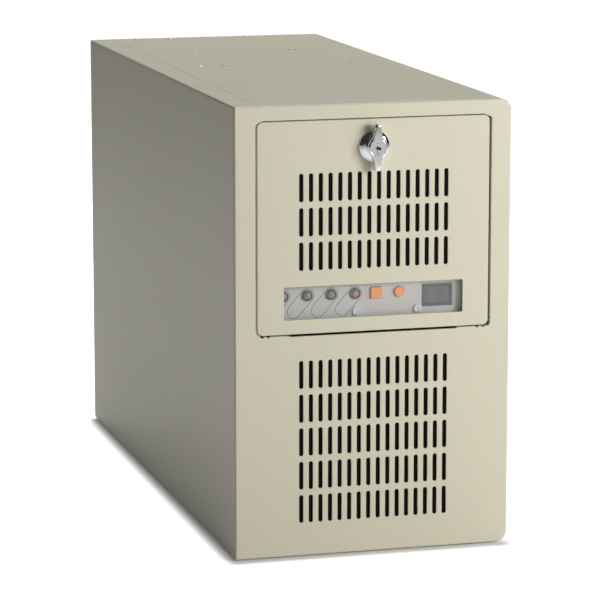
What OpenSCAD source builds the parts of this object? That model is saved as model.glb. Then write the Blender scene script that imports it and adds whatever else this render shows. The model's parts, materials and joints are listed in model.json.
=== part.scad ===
// Desktop computer tower in sheet steel: a locking front door that drops down on two pins,
// a window over the control panel, a side cover that slides off, and the computer inside.
// Heights are measured from the surface the tower stands on, and depths from its front face.

/* [Case] */
// Width of the case over its side walls
case_w = 200; // [196:1:260]
// Depth of the case from front face to rear face
case_d = 480; // [450:1:620]
// Height of the case over its top, feet included
case_h = 320; // [320:1:400]
// Thickness of the case's sheet steel
sheet = 1.2; // [0.8:0.1:1.6]
// Outer radius of the two folded edges on the right
side_radius = 8; // [4:0.5:12]
// Height of the rubber feet
foot_h = 1.6; // [1:0.2:3]
// Width of the side cover's top and bottom flanges
cover_flange = 18.4; // [14:0.2:24]
// Width of the side cover's rear flange
rear_flange = 14; // [12:0.5:18]
// Depth of the folds behind the front and rear panels
panel_return = 14; // [8:1:18]

/* [Front door] */
// Width of the door
door_w = 168; // [160:1:172]
// Height of the door
door_h = 149; // [140:1:160]
// Distance from the case's top down to the door's top edge
door_top = 10.8; // [10:0.2:16]
// Gap beside the door and under its middle
door_gap = 1.5; // [1.4:0.1:2]
// Gap above the door
head_gap = 0.6; // [0.4:0.1:1.5]
// Gap under the door's two ends
sill_gap = 0.8; // [0.7:0.1:1.5]
// Depth of the door's folded edges
door_fold = 8; // [6:0.5:9]
// Radius of the door's corners
door_corner = 4; // [2:0.5:6]
// Diameter of the hinge pins
hinge_pin_d = 2; // [1.6:0.1:2.4]
// Distance from the door's face and bottom edge in to the hinge axis
hinge_inset = 3; // [2.8:0.1:4]
// Width of the window opening in the door
window_w = 130; // [100:1:140]
// Height of the window opening in the door
window_h = 23; // [18:1:26]
// Distance from the door's bottom edge up to the window
window_up = 10.2; // [9:0.2:14]
// Thickness of the window pane
pane_t = 2; // [1:0.1:2.5]
// Thickness of the foam filter in the door
door_filter_t = 5; // [3:0.5:6]

/* [Grilles] */
// Width of each vent slot
slot_w = 3; // [2:0.1:4]
// Height of each vent slot
slot_h = 20; // [14:0.5:21]
// Distance from one column of slots to the next
column_pitch = 7; // [6:0.1:8]
// Distance from one row of slots to the next
row_pitch = 24; // [23:0.5:28]
// Number of slot columns in both grilles
columns = 16; // [8:2:18]
// Number of slot rows in the door
door_rows = 3; // [1:1:3]
// Number of slot rows in the lower grille
panel_rows = 5; // [2:1:5]

/* [Lock] */
// Height of the lock's axis below the door's top edge
lock_drop = 19.2; // [15:0.2:24]
// Diameter of the lock's flange
lock_flange_d = 22.5; // [20:0.5:26]
// Diameter of the lock's barrel
lock_barrel_d = 17; // [15:0.5:19]
// Diameter of the turning plug
lock_plug_d = 12; // [10:0.5:13]
// How far the lock stands out in front of the door
lock_out = 10; // [9:0.5:14]
// Length of the winged knob
wing_l = 33.5; // [28:0.5:38]
// Reach of the cam from the lock's axis
cam_reach = 24.5; // [23:0.5:26]

/* [Control panel] */
// Distance from the door's face back to the control panel
plate_depth = 6.5; // [6:0.1:8]
// Distance between the indicator lamps
lamp_pitch = 17.4; // [15:0.1:20]
// Diameter of the indicator lenses
lens_d = 8; // [5:0.5:9]
// Side of the square alarm button
square_button = 8; // [6:0.5:9]
// Diameter of the round reset button
round_button_d = 7.4; // [5:0.2:9]
// Travel of the two buttons
button_travel = 1.6; // [1:0.1:2]
// Width of the power rocker
rocker_w = 18; // [14:0.5:20]
// Height of the power rocker
rocker_h = 12; // [8:0.5:14]
// Angle that the power rocker turns from off to on
rocker_swing = 14; // [8:1:18]

/* [Drive cage] */
// Clear width for a wide drive
wide_drive_w = 147; // [147:0.5:149]
// Height of a wide drive bay
wide_bay_h = 41.3; // [41:0.1:43]
// Height of the narrow drive bay
narrow_bay_h = 29; // [27:0.5:32]
// Depth of the drive cage
cage_d = 170; // [150:1:180]
// Distance from the front face back to the cage
cage_front = 22; // [21:0.5:26]

/* [Fans] */
// Side of the front fan
front_fan = 120; // [92:1:120]
// Side of the processor fan
cpu_fan = 80; // [60:1:92]
// Side of the power supply's fan
supply_fan = 80; // [60:1:80]
// Thickness of every fan
fan_t = 25; // [15:1:25]

/* [Main board] */
// Height of the main board
board_h = 305; // [244:1:305]
// Depth of the main board
board_d = 244; // [190:1:244]
// Thickness of the main board
board_t = 1.6; // [1.2:0.1:2.4]
// Height of the stand-offs behind the main board
standoff_h = 6.5; // [6:0.5:10]
// Distance from one expansion slot to the next
expansion_pitch = 20.32; // [20.32:0.01:20.4]
// Number of expansion slots
expansion_count = 7; // [4:1:7]

/* [Power supply] */
// Width of the power supply
supply_w = 86; // [80:1:86]
// Height of the power supply
supply_h = 150; // [125:1:150]
// Depth of the power supply
supply_d = 140; // [100:1:140]

/* [Wall bracket holes] */
// Distance between the bracket holes across the case
bracket_x = 120; // [80:1:140]
// Distance between the bracket holes along the case
bracket_y = 300; // [200:1:340]
// Diameter of the bracket holes
bracket_hole_d = 4.3; // [3:0.1:5]

/* [Hidden] */
$fn = 48;
fit = 0.1;                 // between sheets that are fixed together
slide_gap = 0.4;           // between the side cover and what it slides on
pin_gap = 0.08;            // radial clearance of pins and turning shanks
seam = 0.3;                // line between neighbouring panels
thin = 1;                  // thinner sheet of brackets and boxes
cut = 1;                   // how far cutters run past a face

half_w = case_w / 2;
wall_x = half_w - sheet;               // inside face of either side wall
floor_z = foot_h + sheet;              // inside face of the bottom
roof_z = case_h - sheet;               // inside face of the top
flange_x = -half_w + cover_flange;     // inner edge of the side cover's flanges
rear_flange_x = -half_w + rear_flange;
rear_y = case_d - 2 * sheet - seam;    // inside face of the rear panel
screw_out = 7;                         // thumbscrew's head behind the case
depth_shift = (lock_out - case_d - screw_out) / 2;

door_z1 = case_h - door_top;
door_z0 = door_z1 - door_h;
hinge_y = hinge_inset;
hinge_z = door_z0 + hinge_inset;
hinge_pin_r = hinge_pin_d / 2;
hinge_head_r = hinge_inset - sheet - 0.15;
opening_x = door_w / 2 + door_gap;
opening_z = [door_z0 - sill_gap, door_z1 + head_gap];
opening_fold = 12;                     // depth of the folds round the opening
fold_x = opening_x + sheet;            // outside of those folds
fold_break = 61;                       // half of the stretch without a bottom fold
notch_x = opening_x - 9.4;             // relief notches near the opening's corners
notch_pitch = 4.4;
notch_r = 0.9;
window_z0 = door_z0 + window_up;
window_z = [window_z0, window_z0 + window_h];
upper_row = door_z0 + 102.5;
lower_row = foot_h + 129.6;
lock_z = door_z1 - lock_drop;

control_z = window_z0 + 15.6;          // height of lamps and buttons
screw_z = window_z0 + 2.8;             // height of the panel's screws
plate_z0 = hinge_z + 1.2;
plate_x = door_w / 2 - sheet - 2.8;
lamp_x = -64;
square_x = 3.3;
round_x = 20.3;
plate_screw_x = [-10.8, 34];
rocker_x = 48.5;
rocker_z = window_z0 + 12;
button_out = 2.2;                      // buttons in front of the control panel
plate_back = plate_depth + sheet;
circuit_y = plate_back + 10;           // front of the control board
circuit_t = 1.6;

cage_x = wide_drive_w / 2;
cage_lip = 5;                          // outward lips of the cage
wide_z = [for (i = [0, 1]) roof_z - thin - 0.6 - (i + 0.5) * wide_bay_h];
shelf_z = roof_z - thin - 0.6 - 2 * wide_bay_h - thin;
cage_z = shelf_z - narrow_bay_h - thin;

fan_z = foot_h + 81.6;
fan_front = 12;                        // front of the front fan
hole_share = 105 / 120;                // fan's screw spacing over its side

board_x = wall_x - standoff_h - board_t;
slot_wall = rear_y - 12.2;
board_y1 = slot_wall - 1.8;
board_y0 = board_y1 - board_d;
board_z0 = floor_z + 4;
board_z1 = board_z0 + board_h;
shield_z0 = board_z0 + 143.8;
shield_h = 158.6;
shield_w = 44.4;
shield_x = [board_x + 0.6 - shield_w, board_x + 0.6];
first_slot_z = shield_z0 - 12.6;
ledge_x = -25;
pan_x1 = board_x + 0.5;
pan_z = [first_slot_z - (expansion_count - 1) * expansion_pitch - 10.2, first_slot_z + 10.2];
card_slot = 2;                         // slot that holds the expansion card
cpu_y = board_y1 - 88;
cpu_z = board_z1 - 76;
socket_t = 4;
sink_t = 36;

supply_x0 = rear_flange_x + 1.6;
supply_x1 = supply_x0 + supply_w;
supply_xc = (supply_x0 + supply_x1) / 2;
supply_z1 = roof_z - sheet - 2.4;
supply_z0 = supply_z1 - supply_h;
supply_y0 = rear_y - supply_d;
supply_fan_z = supply_z0 + supply_fan / 2 + 14;
inlet_z = supply_z1 - 26;
inlet_x = supply_xc - 17;
switch_x = supply_xc + 22;
hanger_y = [case_d - 224, supply_y0 - 0.2];

thumb_x = -half_w + 6.6;
thumb_z = foot_h + 230.4;

paint = [0.80, 0.79, 0.71];
zinc = [0.74, 0.75, 0.76];
black = [0.12, 0.12, 0.13];
green = [0.10, 0.32, 0.22];
orange = [0.98, 0.55, 0.25];

// ---- building blocks -------------------------------------------------------

module place() translate([0, depth_shift, 0]) children();

// a box between two corners, given as ranges
module block(x, y, z)
    translate([x[0], y[0], z[0]]) cube([x[1] - x[0], y[1] - y[0], z[1] - z[0]]);

module rod_x(x, y, z, r)
    translate([x[0], y, z]) rotate([0, 90, 0]) cylinder(h = x[1] - x[0], r = r);

module rod_y(x, y, z, r)
    translate([x, y[1], z]) rotate([90, 0, 0]) cylinder(h = y[1] - y[0], r = r);

module rod_z(x, y, z, r)
    translate([x, y, z[0]]) cylinder(h = z[1] - z[0], r = r);

// an outline in X and Z, given thickness along Y
module plate_y(y)
    translate([0, y[1], 0]) rotate([90, 0, 0]) linear_extrude(y[1] - y[0]) children();

// a rectangle with round corners, between two ranges
module rect(x, z, r) {
    translate([x[0] + r, z[0]]) square([x[1] - x[0] - 2 * r, z[1] - z[0]]);
    translate([x[0], z[0] + r]) square([x[1] - x[0], z[1] - z[0] - 2 * r]);
    for (cx = [x[0] + r, x[1] - r], cz = [z[0] + r, z[1] - r]) translate([cx, cz]) circle(r);
}

// the case seen from the front: sharp folds on the left, round ones on the right
module body_outline(inset, left_gap = 0) {
    r = side_radius - inset;
    x = [-half_w + inset + left_gap, half_w - inset];
    z = [foot_h + inset, case_h - inset];
    translate([x[0], z[0]]) square([x[1] - r - x[0], z[1] - z[0]]);
    translate([x[0], z[0] + r]) square([x[1] - x[0], z[1] - z[0] - 2 * r]);
    for (cz = [z[0] + r, z[1] - r]) translate([x[1] - r, cz]) circle(r);
}

module vent_slot(x, z) {
    half = (slot_h - slot_w) / 2;
    translate([x - slot_w / 2, z - half]) square([slot_w, 2 * half]);
    for (side = [-1, 1]) translate([x, z + side * half]) circle(slot_w / 2);
}

module grille(rows, top_row)
    for (row = [0 : rows - 1], column = [0 : columns - 1])
        vent_slot((column - (columns - 1) / 2) * column_pitch, top_row - row * row_pitch);

// a fan's square frame, its axis along Z and its stator at the top
module fan_frame(size) {
    bore = size / 2 - 2.5;
    hub = size * 0.17;
    hole = size * hole_share / 2;
    difference() {
        translate([-size / 2, -size / 2, 0]) cube([size, size, fan_t]);
        translate([0, 0, -cut]) cylinder(h = fan_t + 2 * cut, r = bore);
        for (x = [-hole, hole], y = [-hole, hole])
            translate([x, y, -cut]) cylinder(h = fan_t + 2 * cut, r = 2.15);
        // waist between the two screw flanges
        for (a = [0, 90, 180, 270]) rotate(a)
            translate([bore + 1, -size * 0.3, 4]) cube([size, size * 0.6, fan_t - 8]);
    }
    translate([0, 0, fan_t - 4]) cylinder(h = 4, r = hub);
    for (a = [45, 135, 225, 315]) rotate(a)
        translate([hub - 1, -1.8, fan_t - 4]) cube([bore - hub + 2, 3.6, 4]);
}

// a fan's rotor with its blades, below the stator
module fan_rotor(size) {
    hub = size * 0.17;
    tip = size / 2 - 4;
    cylinder_h = fan_t - 6;
    translate([0, 0, 1.5]) cylinder(h = cylinder_h, r = hub);
    intersection() {
        translate([0, 0, 1.5]) cylinder(h = cylinder_h, r = tip);
        for (i = [0 : 6]) rotate(i * 360 / 7)
            translate([hub - 1.5, 0, fan_t / 2 - 1.5]) rotate([38, 0, 0])
                translate([0, -size * 0.125, -0.8]) cube([size, size * 0.25, 1.6]);
    }
}

// a round-headed screw along +Z, its head's underside at z = 0
module screw(r, length, head_r, head_h) {
    translate([0, 0, -length]) cylinder(h = length, r = r);
    difference() {
        cylinder(h = head_h, r = head_r);
        for (a = [0, 90]) rotate(a)
            translate([-head_r * 0.6, -head_r * 0.12, head_h * 0.5])
                cube([head_r * 1.2, head_r * 0.24, head_h]);
    }
}

// ---- case ------------------------------------------------------------------

wrap_y0 = sheet + seam;
tongue_y = [panel_return + 2, rear_y - panel_return - 1];
tongue_in = sheet + slide_gap;
rivet_spots = concat(
    [for (x = [-40, 40], y = [262, 362]) [x, case_d - 480 + y]],
    [for (x = [-60, 62]) [x, case_d - 480 + 262]],
    [for (x = [-62, -34, 30]) [x, rear_y - panel_return / 2]]
);
foot_spots = [for (x = [-70, 70], y = [40, case_d - 40]) [x, y]];
bracket_spots = [for (x = [-0.5, 0.5], y = [-0.5, 0.5])
    [x * bracket_x, case_d / 2 + y * bracket_y]];

module wrap_shell() place() color(paint) difference() {
    union() {
        plate_y([wrap_y0, case_d]) difference() {
            body_outline(0);
            body_outline(sheet);
            translate([-case_w, 0]) square([case_w + flange_x + seam, 2 * case_h]);
        }
        // tongues stepped in under the side cover's flanges
        for (z = [case_h - tongue_in - sheet, foot_h + tongue_in]) {
            block([-wall_x + 1.5, flange_x + seam + sheet], tongue_y, [z, z + sheet]);
        }
        block([flange_x + seam, flange_x + seam + sheet], tongue_y, [roof_z - 1.6, roof_z + 0.5]);
        block([flange_x + seam, flange_x + seam + sheet], tongue_y, [floor_z - 0.5, floor_z + 1.6]);
    }
    for (p = rivet_spots) rod_z(p[0], p[1], [roof_z - cut, case_h + cut], 1.6);
    for (p = bracket_spots) rod_z(p[0], p[1], [0, floor_z + cut], bracket_hole_d / 2);
}

module left_side_cover() place() color(paint) difference() {
    union() {
        block([-half_w, -wall_x], [wrap_y0, case_d], [foot_h, case_h]);
        for (z = [foot_h, roof_z])
            block([-half_w, flange_x], [wrap_y0, case_d], [z, z + sheet]);
        block([-half_w, rear_flange_x], [case_d - sheet, case_d], [foot_h, case_h]);
    }
    rod_y(thumb_x, [case_d - 2 * sheet, case_d + cut], thumb_z, 2 + pin_gap);
}

module cover_thumbscrew() place() color(zinc) {
    rod_y(thumb_x, [rear_y - 5, case_d + 1], thumb_z, 2);
    rod_y(thumb_x, [case_d + 0.3, case_d + 1.5], thumb_z, 4.2);
    difference() {
        rod_y(thumb_x, [case_d + 1.5, case_d + screw_out], thumb_z, 5);
        for (i = [0 : 11]) translate([thumb_x, case_d + 1, thumb_z]) rotate([0, i * 30, 0])
            translate([5.2, 0, 0]) rotate([-90, 0, 0]) cylinder(h = screw_out, r = 0.6);
        block([thumb_x - 6, thumb_x + 6], [case_d + screw_out - 1.2, case_d + screw_out + cut],
            [thumb_z - 0.6, thumb_z + 0.6]);
    }
}

module front_panel() place() color(paint) difference() {
    union() {
        plate_y([0, sheet]) body_outline(0);
        plate_y([sheet, panel_return]) difference() {
            body_outline(sheet + fit, slide_gap);
            body_outline(2 * sheet + fit, slide_gap);
        }
        plate_y([sheet, opening_fold])
            rect([-fold_x, fold_x], [opening_z[0] - sheet, opening_z[1] + sheet], door_corner + sheet);
    }
    plate_y([-cut, opening_fold + cut]) rect([-opening_x, opening_x], opening_z, door_corner - 1.5);
    block([-fold_break, fold_break], [-cut, sheet + cut], [door_z0 - door_gap, door_z0]);
    plate_y([-cut, sheet + cut]) grille(panel_rows, lower_row);
    // the bottom fold stops short of the door's middle and of the corners
    block([-fold_break, fold_break], [sheet, opening_fold + cut],
        [opening_z[0] - 2 * sheet, opening_z[0] + cut]);
    for (side = [-1, 1], x = [notch_x, notch_x + notch_pitch])
        rod_y(side * x, [-cut, opening_fold + cut], opening_z[0], notch_r);
    for (side = [-1, 1]) {
        rod_y(side * (notch_x + notch_pitch), [-cut, opening_fold + cut], opening_z[1], notch_r);
        rod_x([side * opening_x - 3, side * opening_x + 3], hinge_y, hinge_z, hinge_pin_r);
    }
}

module rear_panel() place() color(paint) difference() {
    union() {
        plate_y([rear_y, rear_y + sheet]) body_outline(sheet + fit, slide_gap);
        plate_y([rear_y - panel_return, rear_y]) difference() {
            body_outline(sheet + fit, slide_gap);
            body_outline(2 * sheet + fit, slide_gap);
        }
    }
    // power supply, leaving its four corners covered
    plate_y([rear_y - cut, rear_y + sheet + cut]) {
        rect([supply_x0 + 14, supply_x1 - 14], [supply_z0 + 5, supply_z1 - 5], 2);
        rect([supply_x0 + 5, supply_x1 - 5], [supply_z0 + 14, supply_z1 - 14], 2);
        rect(shield_x, [shield_z0, shield_z0 + shield_h], 1);
        rect([ledge_x + thin, pan_x1 - thin], [pan_z[0] + thin, pan_z[1] - thin], 1);
        // vents beside the power supply and under the cover's screw
        for (i = [0 : 5], row = [0 : 2])
            vent_slot(rear_flange_x + 12 + i * column_pitch, pan_z[0] + 40 + row * row_pitch);
    }
    for (p = supply_screws()) rod_y(p[0], [rear_y - cut, rear_y + sheet + cut], p[1], 1.75);
    rod_y(thumb_x, [rear_y - cut, rear_y + sheet + cut], thumb_z, 2 + pin_gap);
    for (p = rivet_spots) rod_z(p[0], p[1], [roof_z - 5, case_h], 1.6);
}

module top_rivets() place() color(zinc) for (p = rivet_spots) {
    rod_z(p[0], p[1], [roof_z - sheet - fit - 1.4, case_h + 0.2], 1.6);
    rod_z(p[0], p[1], [case_h, case_h + 0.5], 2.6);
}

module rubber_feet() place() color(black) for (p = foot_spots) {
    rod_z(p[0], p[1], [0, foot_h], 8);
}

// ---- door and lock ---------------------------------------------------------

ear_x = (door_w - sheet) / 2;           // middle of the door's side folds
pane_x = min(window_w / 2 + 5, door_w / 2 - sheet - 0.5);
module front_door() place() color(paint) difference() {
    union() {
        plate_y([0, sheet]) rect([-door_w / 2, door_w / 2], [door_z0, door_z1], door_corner);
        // folded edges, cut short at the bottom where the door turns
        plate_y([sheet, door_fold]) difference() {
            rect([-door_w / 2, door_w / 2], [door_z0, door_z1], door_corner);
            rect([-door_w / 2 + sheet, door_w / 2 - sheet], [door_z0 + sheet, door_z1 - sheet],
                door_corner - sheet);
            translate([-door_w, 0]) square([2 * door_w, hinge_z]);
        }
        plate_y([sheet, 3]) translate([-door_w / 2 + door_corner, door_z0])
            square([door_w - 2 * door_corner, sheet]);
        for (side = [-1, 1])
            rod_x([side * ear_x - sheet / 2, side * ear_x + sheet / 2], hinge_y, hinge_z, hinge_inset);
    }
    for (side = [-1, 1])
        rod_x([side * door_w / 2 - 3, side * door_w / 2 + 3], hinge_y, hinge_z, hinge_pin_r + pin_gap);
    plate_y([-cut, sheet + cut]) {
        rect([-window_w / 2, window_w / 2], window_z, 1);
        grille(door_rows, upper_row);
        translate([0, lock_z]) circle(lock_barrel_d / 2 + fit);
    }
    // rounds the bottom fold so that the corner clears the panel as it turns
    difference() {
        block([-door_w, door_w], [-cut, 2], [door_z0 - cut, door_z0 + 2]);
        rod_x([-door_w, door_w], 2, door_z0 + 2, 2);
    }
}

module door_window() place() color([0.85, 0.87, 0.88, 0.35])
    plate_y([sheet, sheet + pane_t])
        rect([-pane_x, pane_x], [window_z[0] - 4, window_z[1] + 4], 2);

module door_filter() place() color(black)
    block([-columns * column_pitch / 2 - 5, columns * column_pitch / 2 + 5],
        [sheet, sheet + door_filter_t],
        [upper_row - (door_rows - 1) * row_pitch - slot_h / 2 - 4, upper_row + slot_h / 2 + 3]);

module hinge_pins() place() color(zinc) for (side = [-1, 1]) {
    a = side * (door_w / 2 - sheet - 0.3);
    b = side * fold_x;
    rod_x([min(a, b), max(a, b)], hinge_y, hinge_z, hinge_pin_r);
    rod_x([a - 0.6 - side * 0.6, a + 0.6 - side * 0.6], hinge_y, hinge_z, hinge_head_r);
    rod_x([b - 0.5 + side * 0.5, b + 0.5 + side * 0.5], hinge_y, hinge_z, hinge_head_r);
}

lock_back = 12.3;                      // rear end of the barrel
wing_front = 1.4 - lock_out;           // front of the knob's wings
module lock_barrel() place() color(zinc) difference() {
    union() {
        rod_y(0, [-2.2, 0], lock_z, lock_flange_d / 2);
        rod_y(0, [-3, -2], lock_z, lock_flange_d / 2 - 2);
        rod_y(0, [0, lock_back], lock_z, lock_barrel_d / 2);
        translate([0, sheet, lock_z]) rotate([-90, 0, 0]) cylinder(h = 4, r = 12.5, $fn = 6);
    }
    rod_y(0, [-4, lock_back + cut], lock_z, lock_plug_d / 2 + pin_gap);
}

module lock_knob() place() color([0.82, 0.82, 0.84]) difference() {
    union() {
        rod_y(0, [-lock_out, lock_back + 0.4], lock_z, lock_plug_d / 2);
        rod_y(0, [-5, -3.3], lock_z, lock_plug_d / 2 + 1.4);
        block([-3, 3], [lock_back, lock_back + 4.6], [lock_z - 3, lock_z + 3]);
        // the two wings, a flat blade with round ends
        translate([0, wing_front, lock_z]) rotate([-90, 0, 0]) linear_extrude(-3.6 - wing_front) {
            square([5, wing_l - 10], center = true);
            for (side = [-1, 1]) translate([0, side * (wing_l / 2 - 5)]) circle(5);
        }
    }
    // keyhole
    block([-0.7, 0.7], [-lock_out - cut, -lock_out + 5], [lock_z - 3.2, lock_z + 3.2]);
}

module lock_cam() place() color(zinc) difference() {
    plate_y([lock_back + 0.5, lock_back + 2.5]) {
        translate([0, lock_z]) circle(7);
        translate([0, lock_z - 5]) square([cam_reach - 5, 10]);
        translate([cam_reach - 5, lock_z]) circle(5);
    }
    block([-3, 3], [lock_back, lock_back + 4], [lock_z - 3, lock_z + 3]);
}

// ---- control panel ---------------------------------------------------------

shelf_x = min(cage_x, plate_x);         // the shelf's front clears the opening's folds
module control_plate() place() color([0.75, 0.75, 0.71]) difference() {
    union() {
        block([-plate_x, plate_x], [plate_depth, plate_back], [plate_z0, cage_z]);
        block([-plate_x + 8, plate_x - 8], [plate_depth, plate_back + 6], [plate_z0, plate_z0 + sheet]);
        block([-shelf_x, shelf_x], [plate_depth, cage_front + 20], [cage_z - sheet, cage_z]);
        block([-cage_x, cage_x], [opening_fold + 0.5, cage_front + 20], [cage_z - sheet, cage_z]);
    }
    for (i = [0 : 3]) rod_y(lamp_x + i * lamp_pitch, [0, 20], control_z, lens_d / 2 + fit);
    block([square_x - square_button / 2 - 0.3, square_x + square_button / 2 + 0.3], [0, 20],
        [control_z - square_button / 2 - 0.3, control_z + square_button / 2 + 0.3]);
    rod_y(round_x, [0, 20], control_z, round_button_d / 2 + 0.3);
    block([rocker_x - rocker_w / 2 - 1.5, rocker_x + rocker_w / 2 + 1.5], [0, 20],
        [rocker_z - rocker_h / 2 - 1.5, rocker_z + rocker_h / 2 + 1.5]);
    for (x = plate_screw_x) rod_y(x, [0, 20], screw_z, 1.5);
}

module control_screws() place() color(zinc) for (x = plate_screw_x)
    translate([x, plate_depth, screw_z]) rotate([90, 0, 0])
        screw(1.5, circuit_y - plate_depth + circuit_t, 2.9, 1.5);

module lens(x) {
    rod_y(x, [plate_depth - 0.8, circuit_y], control_z, lens_d / 2);
    translate([x, plate_depth - 0.8, control_z]) intersection() {
        sphere(lens_d / 2);
        translate([-lens_d, -1.4, -lens_d]) cube([2 * lens_d, 2.4, 2 * lens_d]);
    }
}

module status_lenses() place() color([0.55, 0.55, 0.56])
    for (i = [0 : 2]) lens(lamp_x + i * lamp_pitch);

module alarm_lens() place() color([0.80, 0.32, 0.22]) lens(lamp_x + 3 * lamp_pitch);

module alarm_button() place() color(orange) {
    s = square_button / 2;
    block([square_x - s, square_x + s], [plate_depth - button_out, plate_back + 2],
        [control_z - s, control_z + s]);
    block([square_x - s - 1, square_x + s + 1], [plate_back + 0.3, plate_back + 2],
        [control_z - s - 1, control_z + s + 1]);
}

module reset_button() place() color(orange) {
    rod_y(round_x, [plate_depth - button_out, plate_back + 2], control_z, round_button_d / 2);
    rod_y(round_x, [plate_back + 0.3, plate_back + 2], control_z, round_button_d / 2 + 1);
}

module power_switch_body() place() color(black) difference() {
    union() {
        block([rocker_x - rocker_w / 2 - 2, rocker_x + rocker_w / 2 + 2], [plate_depth - 1, plate_depth],
            [rocker_z - rocker_h / 2 - 2, rocker_z + rocker_h / 2 + 2]);
        block([rocker_x - rocker_w / 2 - 1.5, rocker_x + rocker_w / 2 + 1.5],
            [plate_depth, plate_depth + 17],
            [rocker_z - rocker_h / 2 - 1.5, rocker_z + rocker_h / 2 + 1.5]);
        for (x = [-6, 0, 6])
            block([rocker_x + x - 0.4, rocker_x + x + 0.4], [plate_depth + 16, plate_depth + 24],
                [rocker_z - 2.4, rocker_z + 2.4]);
    }
    block([rocker_x - rocker_w / 2 - 0.3, rocker_x + rocker_w / 2 + 0.3], [0, plate_depth + 9],
        [rocker_z - rocker_h / 2 - 0.3, rocker_z + rocker_h / 2 + 0.3]);
}

rocker_y = plate_depth + 2.2;
// the rocker rests switched off, tipped half its swing to one side
module power_rocker() place() color([0.20, 0.20, 0.22])
    translate([rocker_x, rocker_y, rocker_z]) rotate([0, 0, -rocker_swing / 2]) difference() {
        intersection() {
            translate([0, 0, -rocker_h / 2]) cylinder(h = rocker_h, r = rocker_w / 2);
            translate([-rocker_w / 2, -2.4, -rocker_h / 2]) cube([rocker_w, 6, rocker_h]);
        }
        // dished face
        translate([0, -32, -rocker_h]) cylinder(h = 2 * rocker_h, r = 30);
    }

module control_board() place() color(green) difference() {
    union() {
        block([lamp_x - 8, 38], [circuit_y, circuit_y + circuit_t], [plate_z0 + 2, cage_z - 4]);
        for (x = [square_x, round_x])
            block([x - 3, x + 3], [plate_back + 2 + button_travel + 0.2, circuit_y],
                [control_z - 3, control_z + 3]);
        block([-60, -42], [circuit_y + circuit_t, circuit_y + 8], [control_z - 4, control_z + 4]);
    }
    for (x = plate_screw_x) rod_y(x, [0, 40], screw_z, 1.5);
}

module alarm_buzzer() place() color(black) difference() {
    rod_y(-22, [circuit_y + circuit_t, circuit_y + 10], control_z, 6);
    rod_y(-22, [circuit_y + 8, circuit_y + 11], control_z, 1);
}

// ---- drive cage ------------------------------------------------------------

cage_y = [cage_front, cage_front + cage_d];
drive_spots = [for (x = [-47.6, 47.6], y = [41, 101]) [x, cage_front + y]];

module drive_cage() place() color(zinc) difference() {
    union() {
        for (x = [-cage_x - thin, cage_x]) block([x, x + thin], cage_y, [cage_z, roof_z - fit]);
        block([-cage_x - thin, cage_x + thin], cage_y, [cage_z, cage_z + thin]);
        block([-cage_x - thin, cage_x + thin], cage_y, [shelf_z, shelf_z + thin]);
        for (side = [-1, 1]) {
            edge = side * (cage_x + cage_lip / 2);
            lip = [edge - cage_lip / 2, edge + cage_lip / 2];
            block(lip, cage_y, [roof_z - fit - thin, roof_z - fit]);
            block(lip, [cage_front, cage_front + thin], [cage_z, roof_z - fit]);
        }
    }
    block([-cage_x, cage_x], [0, case_d], [shelf_z + thin, roof_z + cut]);
    block([-cage_x, cage_x], [0, case_d], [cage_z + thin, shelf_z]);
    // slots for the drives' side screws
    for (z = wide_z, y = [40, 100]) {
        block([-case_w, case_w], [cage_front + y, cage_front + y + 14], [z - 11.6, z - 8.2]);
    }
    for (x = [-40, 0, 40], y = [50, 90, 130])
        rod_z(x, cage_front + y, [shelf_z - cut, shelf_z + 2 * thin], 9);
    for (p = drive_spots) rod_z(p[0], p[1], [cage_z - cut, cage_z + 2 * thin], 1.75);
}

module blank(w, h, z) difference() {
    union() {
        block([-w / 2, w / 2], [cage_front - 3, cage_front - 0.3], [z - h / 2, z + h / 2]);
        block([-w / 2 + 3, w / 2 - 3], [cage_front - 1, cage_front + 12], [z - h / 2 + 3, z + h / 2 - 3]);
    }
    block([-w / 2 + 5, w / 2 - 5], [cage_front - 0.5, cage_front + 14], [z - h / 2 + 5, z + h / 2 - 5]);
}

module wide_bay_blanks() place() color(paint)
    for (z = wide_z) blank(wide_drive_w - 1.4, wide_bay_h - 0.6, z);

module narrow_bay_blank() place() color(paint)
    blank(wide_drive_w - 1.4, narrow_bay_h - 3, (cage_z + shelf_z + thin) / 2 + 0.3);

drive_y = [cage_front + 15, cage_front + 162];
module hard_drive() place() color([0.55, 0.56, 0.58]) difference() {
    union() {
        block([-50.8, 50.8], drive_y, [cage_z + thin, cage_z + thin + 22]);
        plate_lid();
        rod_z(14, drive_y[0] + 52, [cage_z + thin + 20, cage_z + thin + 25.4], 34);
    }
    // connector recess at the back and two side hollows
    block([-34, 10], [drive_y[1] - 9, drive_y[1] + cut], [cage_z + thin + 2, cage_z + thin + 9]);
    for (p = drive_spots) rod_z(p[0], p[1], [cage_z, cage_z + thin + 6], 1.75);
}
module plate_lid()
    block([-48, 48], [drive_y[0] + 3, drive_y[1] - 14], [cage_z + thin + 20, cage_z + thin + 24]);

// ---- front fan -------------------------------------------------------------

filter_half = front_fan / 2 + 1;
module filter_frame() place() color(black) difference() {
    plate_y([sheet + fit, fan_front]) rect([-filter_half - 5, filter_half + 5],
        [fan_z - filter_half - 5, fan_z + filter_half + 5], 4);
    plate_y([0, sheet + fit + 6.2])
        rect([-filter_half, filter_half], [fan_z - filter_half, fan_z + filter_half], 0.4);
    // bars behind the filter
    for (i = [0 : 4], j = [0 : 4]) {
        x = (i - 2) * (2 * filter_half / 5);
        z = fan_z + (j - 2) * (2 * filter_half / 5);
        half = filter_half / 5 - 1.4;
        block([x - half, x + half], [0, fan_front + cut], [z - half, z + half]);
    }
    for (x = [-1, 1], z = [-1, 1]) rod_y(x * front_fan * hole_share / 2, [0, fan_front + cut],
        fan_z + z * front_fan * hole_share / 2, 2.15);
}

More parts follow.
